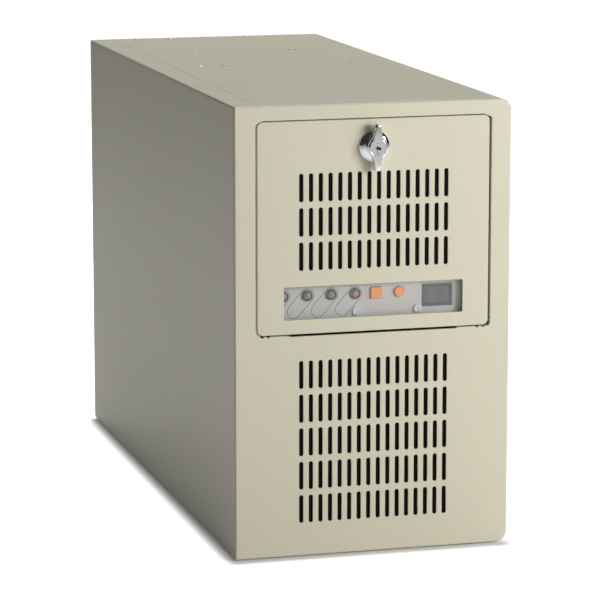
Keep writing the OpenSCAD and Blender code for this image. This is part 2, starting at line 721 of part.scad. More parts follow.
module fan_filter() place() color([0.10, 0.10, 0.10])
    block([-filter_half + 0.5, filter_half - 0.5], [sheet + fit + 0.2, sheet + fit + 6.1],
        [fan_z - filter_half + 0.5, fan_z + filter_half - 0.5]);

module at_front_fan() place() translate([0, fan_front, fan_z]) rotate([-90, 0, 0]) children();

module front_fan_frame() at_front_fan() color(black) fan_frame(front_fan);

module front_fan_rotor() at_front_fan() color([0.18, 0.18, 0.19]) fan_rotor(front_fan);

module fan_screws() at_front_fan() color(zinc)
    for (x = [-1, 1], y = [-1, 1])
        translate([x * front_fan * hole_share / 2, y * front_fan * hole_share / 2, fan_t])
            screw(2.1, fan_t + 4, 3.6, 2);

// ---- rear slots ------------------------------------------------------------

function slot_z(i) = first_slot_z - i * expansion_pitch;

module slot_frame() place() color(zinc) difference() {
    union() {
        block([ledge_x, pan_x1], [slot_wall, slot_wall + thin], pan_z);
        for (z = [pan_z[0], pan_z[1] - thin]) block([ledge_x, pan_x1], [slot_wall, rear_y], [z, z + thin]);
        for (x = [ledge_x, pan_x1 - thin]) block([x, x + thin], [slot_wall, rear_y], pan_z);
    }
    for (i = [0 : expansion_count - 1]) {
        block([ledge_x + 8, pan_x1 - 5], [slot_wall - cut, slot_wall + 2 * thin],
            [slot_z(i) - 6.2, slot_z(i) + 6.2]);
        rod_x([ledge_x - cut, ledge_x + 2 * thin], slot_wall + 6, slot_z(i), 1.75);
    }
}

module slot_bracket(i) difference() {
    union() {
        high = [slot_z(i) - 9.2, slot_z(i) + 9.2];
        block([ledge_x - 1, pan_x1 - 2], [slot_wall - 0.9, slot_wall], high);
        block([ledge_x - 1, ledge_x], [slot_wall - 0.9, slot_wall + 10.5], high);
    }
    rod_x([ledge_x - 3, ledge_x + cut], slot_wall + 6, slot_z(i), 1.75);
}

module slot_covers() place() color(zinc)
    for (i = [0 : expansion_count - 1]) if (i != card_slot) slot_bracket(i);

function supply_screws() =
    [for (x = [supply_x0 + 6, supply_x1 - 6], z = [supply_z0 + 6, supply_z1 - 6]) [x, z]];

// cross-head screws of one size: slot brackets, power supply and hard drive
module frame_screws() place() color(zinc) {
    for (i = [0 : expansion_count - 1]) translate([ledge_x - 1, slot_wall + 6, slot_z(i)])
        rotate([0, -90, 0]) screw(1.75, 5, 3.2, 2);
    for (p = supply_screws()) translate([p[0], rear_y + sheet, p[1]])
        rotate([-90, 0, 0]) screw(1.75, 5, 3.2, 2);
    for (p = drive_spots) translate([p[0], p[1], cage_z]) rotate([180, 0, 0]) screw(1.75, 5, 3.2, 2);
}

// ---- main board ------------------------------------------------------------

board_holes = [for (y = [10, 125, 234], z = [19.5, 150, 295])
    [board_y1 - y * board_d / 244, board_z0 + z * board_h / 305]];
connector_t = 11;
memory_y = board_y0 + 34;
memory_pitch = 9.6;
memory_z = [board_z1 - 150, board_z1 - 12];
loom_z = memory_z[0] - 38;             // height of the power lead's socket

module motherboard() place() color(green) difference() {
    block([board_x, board_x + board_t], [board_y0, board_y1], [board_z0, board_z1]);
    for (p = board_holes) rod_x([board_x - cut, board_x + board_t + cut], p[0], p[1], 1.6);
}

module board_standoffs() place() color([0.80, 0.66, 0.36])
    for (p = board_holes) translate([board_x + board_t, p[0], p[1]])
        rotate([0, 90, 0]) cylinder(h = standoff_h, r = 3.2, $fn = 6);

module board_screws() place() color(zinc) for (p = board_holes)
    translate([board_x, p[0], p[1]]) rotate([0, -90, 0]) screw(1.5, board_t, 2.9, 1.8);

// sockets soldered to the board: expansion cards, memory and the power lead
module board_connectors() place() color([0.86, 0.84, 0.74]) {
    for (i = [0 : expansion_count - 1]) difference() {
        block([board_x - connector_t, board_x], [board_y1 - 135, board_y1 - 50],
            [slot_z(i) - 4.2, slot_z(i) + 4.2]);
        block([board_x - connector_t - cut, board_x - 3], [board_y1 - 132, board_y1 - 53],
            [slot_z(i) - 1.1, slot_z(i) + 1.1]);
    }
    for (i = [0 : 3]) difference() {
        y = memory_y + i * memory_pitch;
        block([board_x - 8, board_x], [y - 3, y + 3], memory_z);
        block([board_x - 10, board_x - 2.5], [y - 0.9, y + 0.9], [memory_z[0] + 2, memory_z[1] - 2]);
    }
    difference() {
        block([board_x - 11, board_x], [board_y0 + 3, board_y0 + 12.6], [loom_z - 26, loom_z + 26]);
        block([board_x - 12, board_x - 3], [board_y0 + 4.4, board_y0 + 11.2], [loom_z - 24, loom_z + 24]);
    }
}

module board_components() place() color([0.30, 0.30, 0.33]) {
    // capacitors in two rows beside the processor
    for (i = [0 : 6]) rod_x([board_x - 11, board_x], cpu_y + 44, cpu_z - 34 + i * 11, 4);
    for (i = [0 : 4]) rod_x([board_x - 9, board_x], cpu_y - 30 + i * 11, cpu_z - 52, 3.4);
    // chipset under its own small heat sink
    block([board_x - 5, board_x], [board_y0 + 72, board_y0 + 102], [board_z0 + 146, board_z0 + 176]);
    for (i = [0 : 6]) block([board_x - 16, board_x - 4], [board_y0 + 72, board_y0 + 102],
        [board_z0 + 146 + i * 4.7, board_z0 + 147.8 + i * 4.7]);
    // clock cell and chips
    rod_x([board_x - 4, board_x], board_y0 + 30, board_z0 + 60, 10);
    for (i = [0 : 2]) block([board_x - 1.8, board_x], [board_y0 + 24, board_y0 + 38],
        [board_z0 + 84 + i * 20, board_z0 + 96 + i * 20]);
    // data sockets at the front edge
    for (i = [0 : 1]) block([board_x - 9, board_x], [board_y0 + 4, board_y0 + 11],
        [board_z0 + 36 + i * 18, board_z0 + 50 + i * 18]);
    // pin header for the control panel's lead
    block([board_x - 7, board_x], [board_y0 + 4, board_y0 + 9], [board_z0 + 76, board_z0 + 90]);
}

// sockets on the rear edge: [height above the shield's bottom, width, reach from the board]
network = [[96, 16.6, 29], [120, 16.6, 29]];
serial = [[10, 31.6, 12.8], [52, 31.6, 12.8]];
port_y0 = board_y1 - 8;
port_y1 = rear_y + sheet + 1.2;
mouth_d = 12;

module port_cutouts(gap) {
    for (p = concat(network, serial)) translate([board_x - p[2] - gap, shield_z0 + p[0] - gap])
        square([p[2] + 2 * gap, p[1] + 2 * gap]);
}

module io_shield() place() color(zinc) difference() {
    union() {
        plate_y([rear_y + 0.2, rear_y + sheet - 0.2])
            rect([shield_x[0] + fit, shield_x[1] - fit], [shield_z0 + fit, shield_z0 + shield_h - fit], 1);
        plate_y([rear_y - 0.8, rear_y])
            rect([shield_x[0] - 1, shield_x[1] + 1], [shield_z0 - 1, shield_z0 + shield_h + 1], 1);
        plate_y([rear_y - 0.4, rear_y + 0.4])
            rect([shield_x[0] + 1, shield_x[1] - 1], [shield_z0 + 1, shield_z0 + shield_h - 1], 1);
    }
    plate_y([rear_y - 5, rear_y + 5]) port_cutouts(0.3);
}

module io_ports() place() color(zinc) {
    // network socket above two flat sockets
    for (p = network) difference() {
        block([board_x - p[2], board_x], [port_y0, port_y1], [shield_z0 + p[0], shield_z0 + p[0] + p[1]]);
        block([board_x - 28, board_x - 20], [port_y1 - mouth_d, port_y1 + cut],
            [shield_z0 + p[0] + 2.4, shield_z0 + p[0] + 14.2]);
        for (x = [17.6, 8.6]) {
            block([board_x - x, board_x - x + 5.2], [port_y1 - mouth_d, port_y1 + cut],
                [shield_z0 + p[0] + 1.8, shield_z0 + p[0] + 14.8]);
        }
    }
    // flat sockets' tongues
    for (p = network, x = [16.8, 7.8])
        block([board_x - x, board_x - x + 1.8], [port_y1 - mouth_d - cut, port_y1 - 2],
            [shield_z0 + p[0] + 2.8, shield_z0 + p[0] + 13.8]);
    // serial sockets
    for (p = serial) difference() {
        block([board_x - p[2], board_x], [port_y0, rear_y - 1.2],
            [shield_z0 + p[0], shield_z0 + p[0] + p[1]]);
        rod_y(board_x - p[2] / 2, [port_y0 + 4, rear_y], shield_z0 + p[0] + 3, 1.2);
        rod_y(board_x - p[2] / 2, [port_y0 + 4, rear_y], shield_z0 + p[0] + p[1] - 3, 1.2);
    }
    for (p = serial) difference() {
        plate_y([rear_y - 1.3, port_y1 + 3]) rect([board_x - p[2] + 2, board_x - 2],
            [shield_z0 + p[0] + 7, shield_z0 + p[0] + p[1] - 7], 2.4);
        plate_y([rear_y, port_y1 + 5]) rect([board_x - p[2] + 2.8, board_x - 2.8],
            [shield_z0 + p[0] + 7.8, shield_z0 + p[0] + p[1] - 7.8], 1.8);
    }
}

module cpu_socket() place() color([0.80, 0.78, 0.70]) {
    block([board_x - socket_t, board_x], [cpu_y - 24, cpu_y + 24], [cpu_z - 24, cpu_z + 24]);
    block([board_x - socket_t - 2, board_x - socket_t], [cpu_y - 16, cpu_y + 16], [cpu_z - 16, cpu_z + 16]);
}

sink_x = board_x - socket_t - 2;
sink_half = cpu_fan / 2 - 2;
module cpu_heatsink() place() color([0.78, 0.79, 0.80]) {
    deep = [cpu_y - sink_half, cpu_y + sink_half];
    block([sink_x - 6, sink_x], deep, [cpu_z - sink_half, cpu_z + sink_half]);
    for (i = [0 : 14]) {
        z = cpu_z - sink_half + i * (2 * sink_half - 1.2) / 14;
        block([sink_x - sink_t, sink_x - 5], deep, [z, z + 1.2]);
    }
}

module at_cpu_fan() place() translate([sink_x - sink_t, cpu_y, cpu_z]) rotate([0, -90, 0])
    translate([0, 0, fan_t]) mirror([0, 0, 1]) children();

module cpu_fan_frame() at_cpu_fan() color(black) fan_frame(cpu_fan);

module cpu_fan_rotor() at_cpu_fan() color([0.18, 0.18, 0.19]) fan_rotor(cpu_fan);

module memory_modules() place() color(green) for (i = [0, 2]) {
    y = memory_y + i * memory_pitch;
    block([board_x - 33, board_x - 2.6], [y - 0.65, y + 0.65], [memory_z[0] + 2.4, memory_z[1] - 2.4]);
    for (j = [0 : 7]) block([board_x - 29, board_x - 15], [y - 1.8, y + 1.8],
        [memory_z[0] + 8 + j * 15.6, memory_z[0] + 18 + j * 15.6]);
}

card_z = slot_z(card_slot);
module expansion_card() place() color([0.12, 0.24, 0.40]) {
    block([ledge_x + 10, board_x - 11.4], [slot_wall - 170, slot_wall - 0.9], [card_z - 0.8, card_z + 0.8]);
    block([board_x - 12, board_x - 3.4], [board_y1 - 131, board_y1 - 54], [card_z - 0.8, card_z + 0.8]);
    block([14, 44], [slot_wall - 110, slot_wall - 80], [card_z - 3, card_z - 0.7]);
    for (i = [0 : 2])
        block([4 + i * 22, 16 + i * 22], [slot_wall - 60, slot_wall - 42], [card_z - 2.4, card_z - 0.7]);
    color(zinc) slot_bracket(card_slot);
    block([20, 52], [slot_wall - 18, slot_wall + 3], [card_z - 6, card_z + 5.8]);
}

// ---- power supply ----------------------------------------------------------

module power_supply_case() place() color([0.62, 0.63, 0.64]) difference() {
    block([supply_x0, supply_x1], [supply_y0, rear_y], [supply_z0, supply_z1]);
    block([supply_x0 + thin, supply_x1 - thin], [supply_y0 + thin, rear_y - thin],
        [supply_z0 + thin, supply_z1 - thin]);
    rod_y(supply_xc, [rear_y - 2 * thin, rear_y + cut], supply_fan_z, supply_fan / 2 - 3);
    for (x = [-1, 1], z = [-1, 1]) rod_y(supply_xc + x * supply_fan * hole_share / 2,
        [rear_y - 2 * thin, rear_y + cut], supply_fan_z + z * supply_fan * hole_share / 2, 2.15);
    wall = [rear_y - 2 * thin, rear_y + cut];
    block([inlet_x - 13.6, inlet_x + 13.6], wall, [inlet_z - 10, inlet_z + 10]);
    block([switch_x - 6.6, switch_x + 6.6], wall, [inlet_z - 9.6, inlet_z + 9.6]);
    for (p = supply_screws()) rod_y(p[0], [rear_y - 2 * thin, rear_y + cut], p[1], 1.75);
    // lead outlet and air slots in the inner face
    rod_y(supply_xc + 24, [supply_y0 - cut, supply_y0 + 2 * thin], supply_z0 + 26, 8);
    for (i = [0 : 7]) block([supply_x0 + 20, supply_x1 - 20], [supply_y0 - cut, supply_y0 + 2 * thin],
        [supply_z0 + 50 + i * 9, supply_z0 + 54 + i * 9]);
    block([supply_x1 - 22, supply_x1 - 16], [supply_y0 - cut, supply_y0 + 2 * thin],
        [supply_z1 - 15.75, supply_z1 - 12.25]);
}

module power_supply_board() place() color([0.70, 0.58, 0.36]) {
    x = supply_x0 + 5;
    block([x, x + 1.6], [supply_y0 + 4, rear_y - fan_t - 6], [supply_z0 + 5, supply_z1 - 5]);
    block([x + 1.6, x + 34], [supply_y0 + 50, supply_y0 + 84], [supply_z0 + 30, supply_z0 + 66]);
    for (i = [0 : 1]) rod_x([x + 1.6, x + 44], supply_y0 + 30, supply_z0 + 96 + i * 26, 11);
    for (i = [0 : 3]) rod_x([x + 1.6, x + 22], supply_y0 + 18, supply_z0 + 16 + i * 14, 5);
    for (z = [24, 74])
        block([x + 1.6, x + 56], [supply_y0 + 40, supply_y0 + 100], [supply_z0 + z, supply_z0 + z + 3]);
}

module at_supply_fan() place()
    translate([supply_xc, rear_y - thin - fan_t, supply_fan_z]) rotate([-90, 0, 0])
        translate([0, 0, fan_t]) mirror([0, 0, 1]) children();

module supply_fan_frame() at_supply_fan() color(black) fan_frame(supply_fan);

module supply_fan_rotor() at_supply_fan() color([0.18, 0.18, 0.19]) fan_rotor(supply_fan);

module supply_fan_guard() place() color(zinc)
    translate([supply_xc, rear_y, supply_fan_z]) rotate([-90, 0, 0]) {
        for (r = [10 : 7 : supply_fan / 2 - 6])
            translate([0, 0, 1.9]) rotate_extrude() translate([r, 0]) circle(0.8);
        for (a = [45, 135]) rotate(a)
            translate([-supply_fan * 0.62, -0.8, 0.1]) cube([supply_fan * 1.24, 1.6, 1.6]);
        for (x = [-1, 1], y = [-1, 1]) translate([x, y, 0] * (supply_fan * hole_share / 2)) {
            cylinder(h = 1.7, r = 2.8);
            translate([0, 0, -thin - 6]) cylinder(h = 8.6, r = 2.1);
        }
    }

// one moulding holds the inlet and the switch beside it
module power_inlet() place() color(black) difference() {
    union() {
        block([inlet_x - 15.4, switch_x + 8.6], [rear_y, rear_y + 2.4], [inlet_z - 12, inlet_z + 12]);
        block([inlet_x - 13.4, inlet_x + 13.4], [rear_y - 18, rear_y + 0.5], [inlet_z - 9.8, inlet_z + 9.8]);
        block([switch_x - 6.4, switch_x + 6.4], [rear_y - 14, rear_y + 0.5], [inlet_z - 9.4, inlet_z + 9.4]);
    }
    difference() {
        block([inlet_x - 12, inlet_x + 12], [rear_y - 14.5, rear_y + 4], [inlet_z - 8, inlet_z + 8]);
        for (x = [-7, 0, 7]) block([inlet_x + x - 1, inlet_x + x + 1], [rear_y - 15, rear_y - 3],
            [inlet_z - 2.4 + (x == 0 ? 2 : -1), inlet_z + 1.6 + (x == 0 ? 2 : -1)]);
    }
    block([switch_x - 5.3, switch_x + 5.3], [rear_y - 11, rear_y + 4], [inlet_z - 8, inlet_z + 8]);
}

module supply_switch() place() color([0.20, 0.20, 0.22])
    translate([switch_x, rear_y, inlet_z]) rotate([rocker_swing / 2, 0, 0]) difference() {
        intersection() {
            translate([-5, 0, 0]) rotate([0, 90, 0]) cylinder(h = 10, r = 7.6);
            translate([-5, -5, -8]) cube([10, 9, 16]);
        }
        translate([-6, 28.4, 0]) rotate([0, 90, 0]) cylinder(h = 12, r = 26);
    }

module supply_hanger() place() color(zinc) difference() {
    union() {
        block([-66, 66], hanger_y, [roof_z - fit - sheet, roof_z - fit]);
        block([supply_x1 - 30, supply_x1 - 8], [hanger_y[1] - sheet, hanger_y[1]],
            [supply_z1 - 22, roof_z - fit]);
    }
    for (p = rivet_spots) rod_z(p[0], p[1], [roof_z - 5, case_h], 1.6);
    rod_y(supply_x1 - 19, [hanger_y[0], hanger_y[1] + cut], supply_z1 - 14, 1.75);
}

// ---- leads inside the case -------------------------------------------------

// a point on the smooth curve through four neighbouring route points
function curve_point(p0, p1, p2, p3, t) = 0.5 * (2 * p1 + (p2 - p0) * t
    + (2 * p0 - 5 * p1 + 4 * p2 - p3) * t * t + (3 * p1 - p0 - 3 * p2 + p3) * t * t * t);

// the whole route, with its first and last points doubled
function route(points, steps) = let (n = len(points)) [
    for (i = [0 : n - 2], j = [0 : steps - 1])
        curve_point(points[max(i - 1, 0)], points[i], points[i + 1], points[min(i + 2, n - 1)], j / steps),
    points[n - 1]
];

lead_sides = 10;
lead_gap = 0.6;                        // between a lead's end and its socket
lead_steps = 7;

// a round lead swept along its route as one closed skin
module lead(points, r) {
    path = route(points, lead_steps);
    last = len(path) - 1;
    rings = [for (i = [0 : last])
        let (along = path[min(i + 1, last)] - path[max(i - 1, 0)], side = cross(along, [0, 0, 1]),
            u = side / norm(side), v = cross(u, along) / norm(along))
        for (k = [0 : lead_sides - 1])
            let (a = k * 360 / lead_sides) path[i] + r * (u * cos(a) + v * sin(a))];
    walls = [for (i = [0 : last - 1], k = [0 : lead_sides - 1])
        let (m = (k + 1) % lead_sides, a = i * lead_sides)
        [a + k, a + lead_sides + k, a + lead_sides + m, a + m]];
    start = [for (k = [0 : lead_sides - 1]) k];
    end = [for (k = [lead_sides - 1 : -1 : 0]) last * lead_sides + k];
    polyhedron(rings, concat([start], walls, [end]));
}

module power_loom() place() color(black) lead([
    [supply_xc + 24, supply_y0 - lead_gap, supply_z0 + 26],
    [supply_xc + 24, supply_y0 - 22, supply_z0 + 26],
    [supply_xc + 60, board_y0 - 8, loom_z],
    [board_x - 26, board_y0 + 7.8, loom_z],
    [board_x - 11 - lead_gap, board_y0 + 7.8, loom_z]
], 5.5);

module data_cable() place() color([0.75, 0.15, 0.12]) lead([
    [-12, drive_y[1] - 9 + lead_gap, cage_z + thin + 5.5],
    [0, drive_y[1] + 20, cage_z + thin],
    [50, board_y0 - 12, board_z0 + 116],
    [62, board_y0 - 6, board_z0 + 62],
    [board_x - 22, board_y0 + 7.5, board_z0 + 43],
    [board_x - 9 - lead_gap, board_y0 + 7.5, board_z0 + 43]
], 2.4);

module panel_lead() place() color([0.35, 0.35, 0.38]) lead([
    [-51, circuit_y + 8 + lead_gap, control_z],
    [-44, cage_front + 22, control_z + 6],
    [0, cage_front + 34, cage_z - 7],
    [wall_x - 14, cage_front + 80, cage_z - 9],
    [wall_x - 12, board_y0 - 36, board_z0 + 140],
    [board_x - 18, board_y0 + 6.5, board_z0 + 83],
    [board_x - 7 - lead_gap, board_y0 + 6.5, board_z0 + 83]
], 2);

wrap_shell();
left_side_cover();
cover_thumbscrew();
front_panel();
rear_panel();
top_rivets();
rubber_feet();
front_door();
door_window();
door_filter();
hinge_pins();
lock_barrel();
lock_knob();
lock_cam();
control_plate();
control_screws();
status_lenses();
alarm_lens();
alarm_button();
reset_button();
power_switch_body();
power_rocker();
control_board();
alarm_buzzer();
drive_cage();
wide_bay_blanks();
narrow_bay_blank();
hard_drive();
filter_frame();
fan_filter();
front_fan_frame();
front_fan_rotor();
fan_screws();
slot_frame();
slot_covers();
frame_screws();
motherboard();
board_standoffs();
board_screws();
board_connectors();
board_components();
io_shield();
io_ports();
cpu_socket();
cpu_heatsink();
cpu_fan_frame();
cpu_fan_rotor();
memory_modules();
expansion_card();
power_supply_case();
power_supply_board();
supply_fan_frame();
supply_fan_rotor();
supply_fan_guard();
power_inlet();
supply_switch();
supply_hanger();
power_loom();
data_cable();
panel_lead();
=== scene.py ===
"""The desktop tower's looks: painted sheet, chrome lock, window, lamps and the computer inside.

Lengths in the shape functions are millimetres; meshes are stored in metres.
"""
import json
import math

import bmesh
import bpy
import numpy as np
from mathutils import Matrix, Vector
from mathutils.geometry import delaunay_2d_cdt


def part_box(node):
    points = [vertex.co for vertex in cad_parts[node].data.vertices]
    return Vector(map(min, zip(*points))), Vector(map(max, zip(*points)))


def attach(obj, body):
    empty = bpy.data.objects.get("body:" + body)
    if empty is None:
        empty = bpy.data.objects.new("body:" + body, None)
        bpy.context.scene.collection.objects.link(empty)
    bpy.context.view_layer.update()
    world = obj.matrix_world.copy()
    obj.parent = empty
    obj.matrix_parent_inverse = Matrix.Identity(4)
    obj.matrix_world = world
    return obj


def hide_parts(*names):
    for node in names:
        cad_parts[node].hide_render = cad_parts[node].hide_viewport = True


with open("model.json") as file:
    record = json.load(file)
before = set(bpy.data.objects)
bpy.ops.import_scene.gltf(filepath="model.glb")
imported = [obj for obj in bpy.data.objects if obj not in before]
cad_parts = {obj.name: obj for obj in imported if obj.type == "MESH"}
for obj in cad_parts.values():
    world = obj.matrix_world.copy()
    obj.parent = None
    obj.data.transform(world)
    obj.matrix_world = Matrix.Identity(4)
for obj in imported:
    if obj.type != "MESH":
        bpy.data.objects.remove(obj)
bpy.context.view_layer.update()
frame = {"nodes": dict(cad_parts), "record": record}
MM = 0.001
WELD_GAP = 0.000004
BLACK, WHITE = (0.0, 0.0, 0.0, 1.0), (1.0, 1.0, 1.0, 1.0)
QUARTER = math.pi / 2

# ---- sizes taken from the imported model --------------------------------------


def span(node):
    """Lowest and highest corner of a node, in millimetres."""
    low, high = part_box(node)
    return np.array(low) / MM, np.array(high) / MM


PANEL_LOW, PANEL_HIGH = span("front_panel")
COVER_LOW, COVER_HIGH = span("left_side_cover")
DOOR_LOW, DOOR_HIGH = span("front_door")
PANE_LOW, PANE_HIGH = span("door_window")
LENS_LOW, LENS_HIGH = span("status_lenses")
KNOB_LOW, KNOB_HIGH = span("lock_knob")
BARREL_LOW, BARREL_HIGH = span("lock_barrel")
THUMB_LOW, THUMB_HIGH = span("cover_thumbscrew")

FACE_Y = PANEL_LOW[1]
SHEET = 1.2
CASE_TOP = COVER_HIGH[2]
FOOT = PANEL_LOW[2]
HALF_W = PANEL_HIGH[0]
SIDE_RADIUS = 8.0
REAR_Y = COVER_HIGH[1]
COVER_FLANGE = COVER_HIGH[0] - COVER_LOW[0]
REAR_FLANGE = 14.0
PANEL_RETURN = PANEL_HIGH[1] - FACE_Y
DOOR_GAP, HEAD_GAP, SILL_GAP = 1.5, 0.6, 0.8
OPENING_FOLD = 12.0
FOLD_BREAK = 61.0
NOTCH_R = 0.9
NOTCH_PITCH = 4.4
DOOR_CORNER = 4.0
DOOR_FOLD = DOOR_HIGH[1] - FACE_Y
HINGE_INSET = 3.0
SLOT_W, SLOT_H = 3.0, 20.0
COLUMN_PITCH, ROW_PITCH, COLUMNS = 7.0, 24.0, 16
UPPER_ROW = DOOR_LOW[2] + 102.5
LOWER_ROW = FOOT + 129.6
LOCK_Z = (KNOB_LOW[2] + KNOB_HIGH[2]) / 2
LAMP_Z = (LENS_LOW[2] + LENS_HIGH[2]) / 2
LAMP_PITCH = 17.4
LENS_R = (LENS_HIGH[2] - LENS_LOW[2]) / 2
LAMP_X = LENS_LOW[0] + LENS_R
PLATE_DEPTH = 6.5
PLATE_Y = FACE_Y + PLATE_DEPTH

# ---- camera, floor and light -------------------------------------------------

KEY, FRONT, TOP, LEFT = 15.4, 11.0, 33.0, 2.4
AMBIENT = 0.03
GLOW = 1.0
GLOSSY_GLOW = 0.2
GLOW_FOOT, GLOW_REACH = 0.1, 0.012
FLOOR_HALF = 12.0
LENS_LENGTH = 189.67
CAMERA_PLACE = (-0.6292, -2.3144, 0.5802)
CAMERA_TURN = (79.590, 0.0, -15.502)


def set_camera():
    data = bpy.data.cameras.new("camera")
    data.lens = LENS_LENGTH
    data.sensor_width = 36.0
    data.clip_end = 30.0
    camera = bpy.data.objects.new("camera", data)
    camera.location = CAMERA_PLACE
    camera.rotation_euler = [math.radians(a) for a in CAMERA_TURN]
    bpy.context.scene.collection.objects.link(camera)
    bpy.context.scene.camera = camera


def add_softbox(name, place, target, size, power, tint=(1.0, 1.0, 1.0)):
    data = bpy.data.lights.new(name, "AREA")
    data.shape = "RECTANGLE"
    data.size, data.size_y = size
    data.energy = power
    data.color = tint
    lamp = bpy.data.objects.new(name, data)
    lamp.location = place
    aim = np.array(target) - np.array(place)
    lamp.rotation_mode = "QUATERNION"
    lamp.rotation_quaternion = Vector(aim).to_track_quat("-Z", "Y")
    lamp.visible_camera = False
    bpy.context.scene.collection.objects.link(lamp)


def set_light():
    add_softbox("key_softbox", (0.85, -1.30, 0.55), (0.0, -0.24, 0.16), (0.6, 0.5), KEY, (1.0, 0.99, 0.98))
    add_softbox("front_softbox", (0.9, -3.2, 1.3), (0.0, -0.2, 0.14), (1.4, 1.2), FRONT, (1.0, 0.99, 0.97))
    add_softbox("top_softbox", (0.3, 1.1, 1.9), (0.0, 0.1, 0.3), (1.4, 1.2), TOP, (1.0, 1.0, 0.99))
    add_softbox("left_softbox", (-2.0, 0.9, 0.45), (-0.1, 0.0, 0.0), (1.4, 0.6), LEFT, (0.94, 0.97, 1.0))


def set_world():
    world = bpy.data.worlds.new("studio")
    bpy.context.scene.world = world
    world.use_nodes = True
    tree = world.node_tree
    tree.nodes.clear()
    out = tree.nodes.new("ShaderNodeOutputWorld")
    seen, lit = tree.nodes.new("ShaderNodeBackground"), tree.nodes.new("ShaderNodeBackground")
    seen.inputs["Color"].default_value = WHITE
    seen.inputs["Strength"].default_value = 1.0
    lit.inputs["Color"].default_value = (0.93, 0.95, 1.0, 1.0)
    lit.inputs["Strength"].default_value = AMBIENT
    path, mix = tree.nodes.new("ShaderNodeLightPath"), tree.nodes.new("ShaderNodeMixShader")
    tree.links.new(path.outputs["Is Camera Ray"], mix.inputs["Fac"])
    tree.links.new(lit.outputs[0], mix.inputs[1])
    tree.links.new(seen.outputs[0], mix.inputs[2])
    tree.links.new(mix.outputs[0], out.inputs["Surface"])
    bpy.context.scene.view_settings.view_transform = "Standard"
    bpy.context.scene.view_settings.look = "None"


set_camera()
set_light()
set_world()

# ---- node helpers ------------------------------------------------------------


def add(tree, kind, links=None, **settings):
    """Adds a node; links maps input names to values or to the sockets that feed them."""
    node = tree.nodes.new(kind)
    for name, value in settings.items():
        setattr(node, name, value)
    for name, value in (links or {}).items():
        socket = node.inputs[name]
        if isinstance(value, bpy.types.NodeSocket):
            tree.links.new(value, socket)
        else:
            socket.default_value = value
    return node


def math_node(tree, operation, *values):
    node = tree.nodes.new("ShaderNodeMath")
    node.operation = operation
    for i, value in enumerate(values):
        if isinstance(value, bpy.types.NodeSocket):
            tree.links.new(value, node.inputs[i])
        else:
            node.inputs[i].default_value = value
    return node.outputs[0]


def ramp(tree, value, low, high, start=0.0, end=1.0):
    """A smooth step of value from low to high."""
    node = add(tree, "ShaderNodeMapRange", {"Value": value, "From Min": low, "From Max": high,
                                            "To Min": start, "To Max": end},
               interpolation_type="SMOOTHSTEP")
    return node.outputs[0]


def blend_colour(tree, factor, first, second, kind="MIX"):
    node = tree.nodes.new("ShaderNodeMix")
    node.data_type = "RGBA"
    node.blend_type = kind
    for socket, value in ((node.inputs[0], factor), (node.inputs[6], first), (node.inputs[7], second)):
        if isinstance(value, bpy.types.NodeSocket):
            tree.links.new(value, socket)
        else:
            socket.default_value = value
    return node.outputs[2]


def object_point(tree, scale=(1.0, 1.0, 1.0), turn=(0.0, 0.0, 0.0)):
    """Object coordinates, stretched and turned."""
    place = add(tree, "ShaderNodeTexCoord").outputs["Object"]
    return add(tree, "ShaderNodeMapping", {"Vector": place, "Scale": scale, "Rotation": turn}).outputs[0]


def noise(tree, vector, scale, detail=2.0, rough=0.5):
    return add(tree, "ShaderNodeTexNoise", {"Vector": vector, "Scale": scale, "Detail": detail,
                                            "Roughness": rough}).outputs["Fac"]


def new_group(name, inputs, outputs):
    """An empty node group with named inputs and outputs."""
    group = bpy.data.node_groups.new(name, "ShaderNodeTree")
    for label, kind, default in inputs:
        socket = group.interface.new_socket(label, in_out="INPUT", socket_type=kind)
        socket.default_value = default
    for label, kind in outputs:
        group.interface.new_socket(label, in_out="OUTPUT", socket_type=kind)
    return group, group.nodes.new("NodeGroupInput").outputs, group.nodes.new("NodeGroupOutput")


def make_cloud_group():
    """Slow drift of tone: two noises of different size, added and centred on zero."""
    group, given, out = new_group(
        "tone_drift",
        [("Size", "NodeSocketFloat", 6.0), ("Amount", "NodeSocketFloat", 0.05)],
        [("Shade", "NodeSocketFloat"), ("Mask", "NodeSocketFloat")])
    place = add(group, "ShaderNodeTexCoord").outputs["Object"]
    wide = add(group, "ShaderNodeTexNoise", {"Vector": place, "Scale": given["Size"], "Detail": 3.0})
    fine = add(group, "ShaderNodeTexNoise", {"Vector": place, "Scale": math_node(group, "MULTIPLY",
        given["Size"], 9.0),
                                             "Detail": 2.0})
    both = math_node(group, "ADD", math_node(group, "MULTIPLY", wide.outputs["Fac"], 0.7),
                     math_node(group, "MULTIPLY", fine.outputs["Fac"], 0.3))
    centred = math_node(group, "SUBTRACT", both, 0.5)
    group.links.new(math_node(group, "MULTIPLY", centred, given["Amount"]), out.inputs["Shade"])
    group.links.new(both, out.inputs["Mask"])
    return group


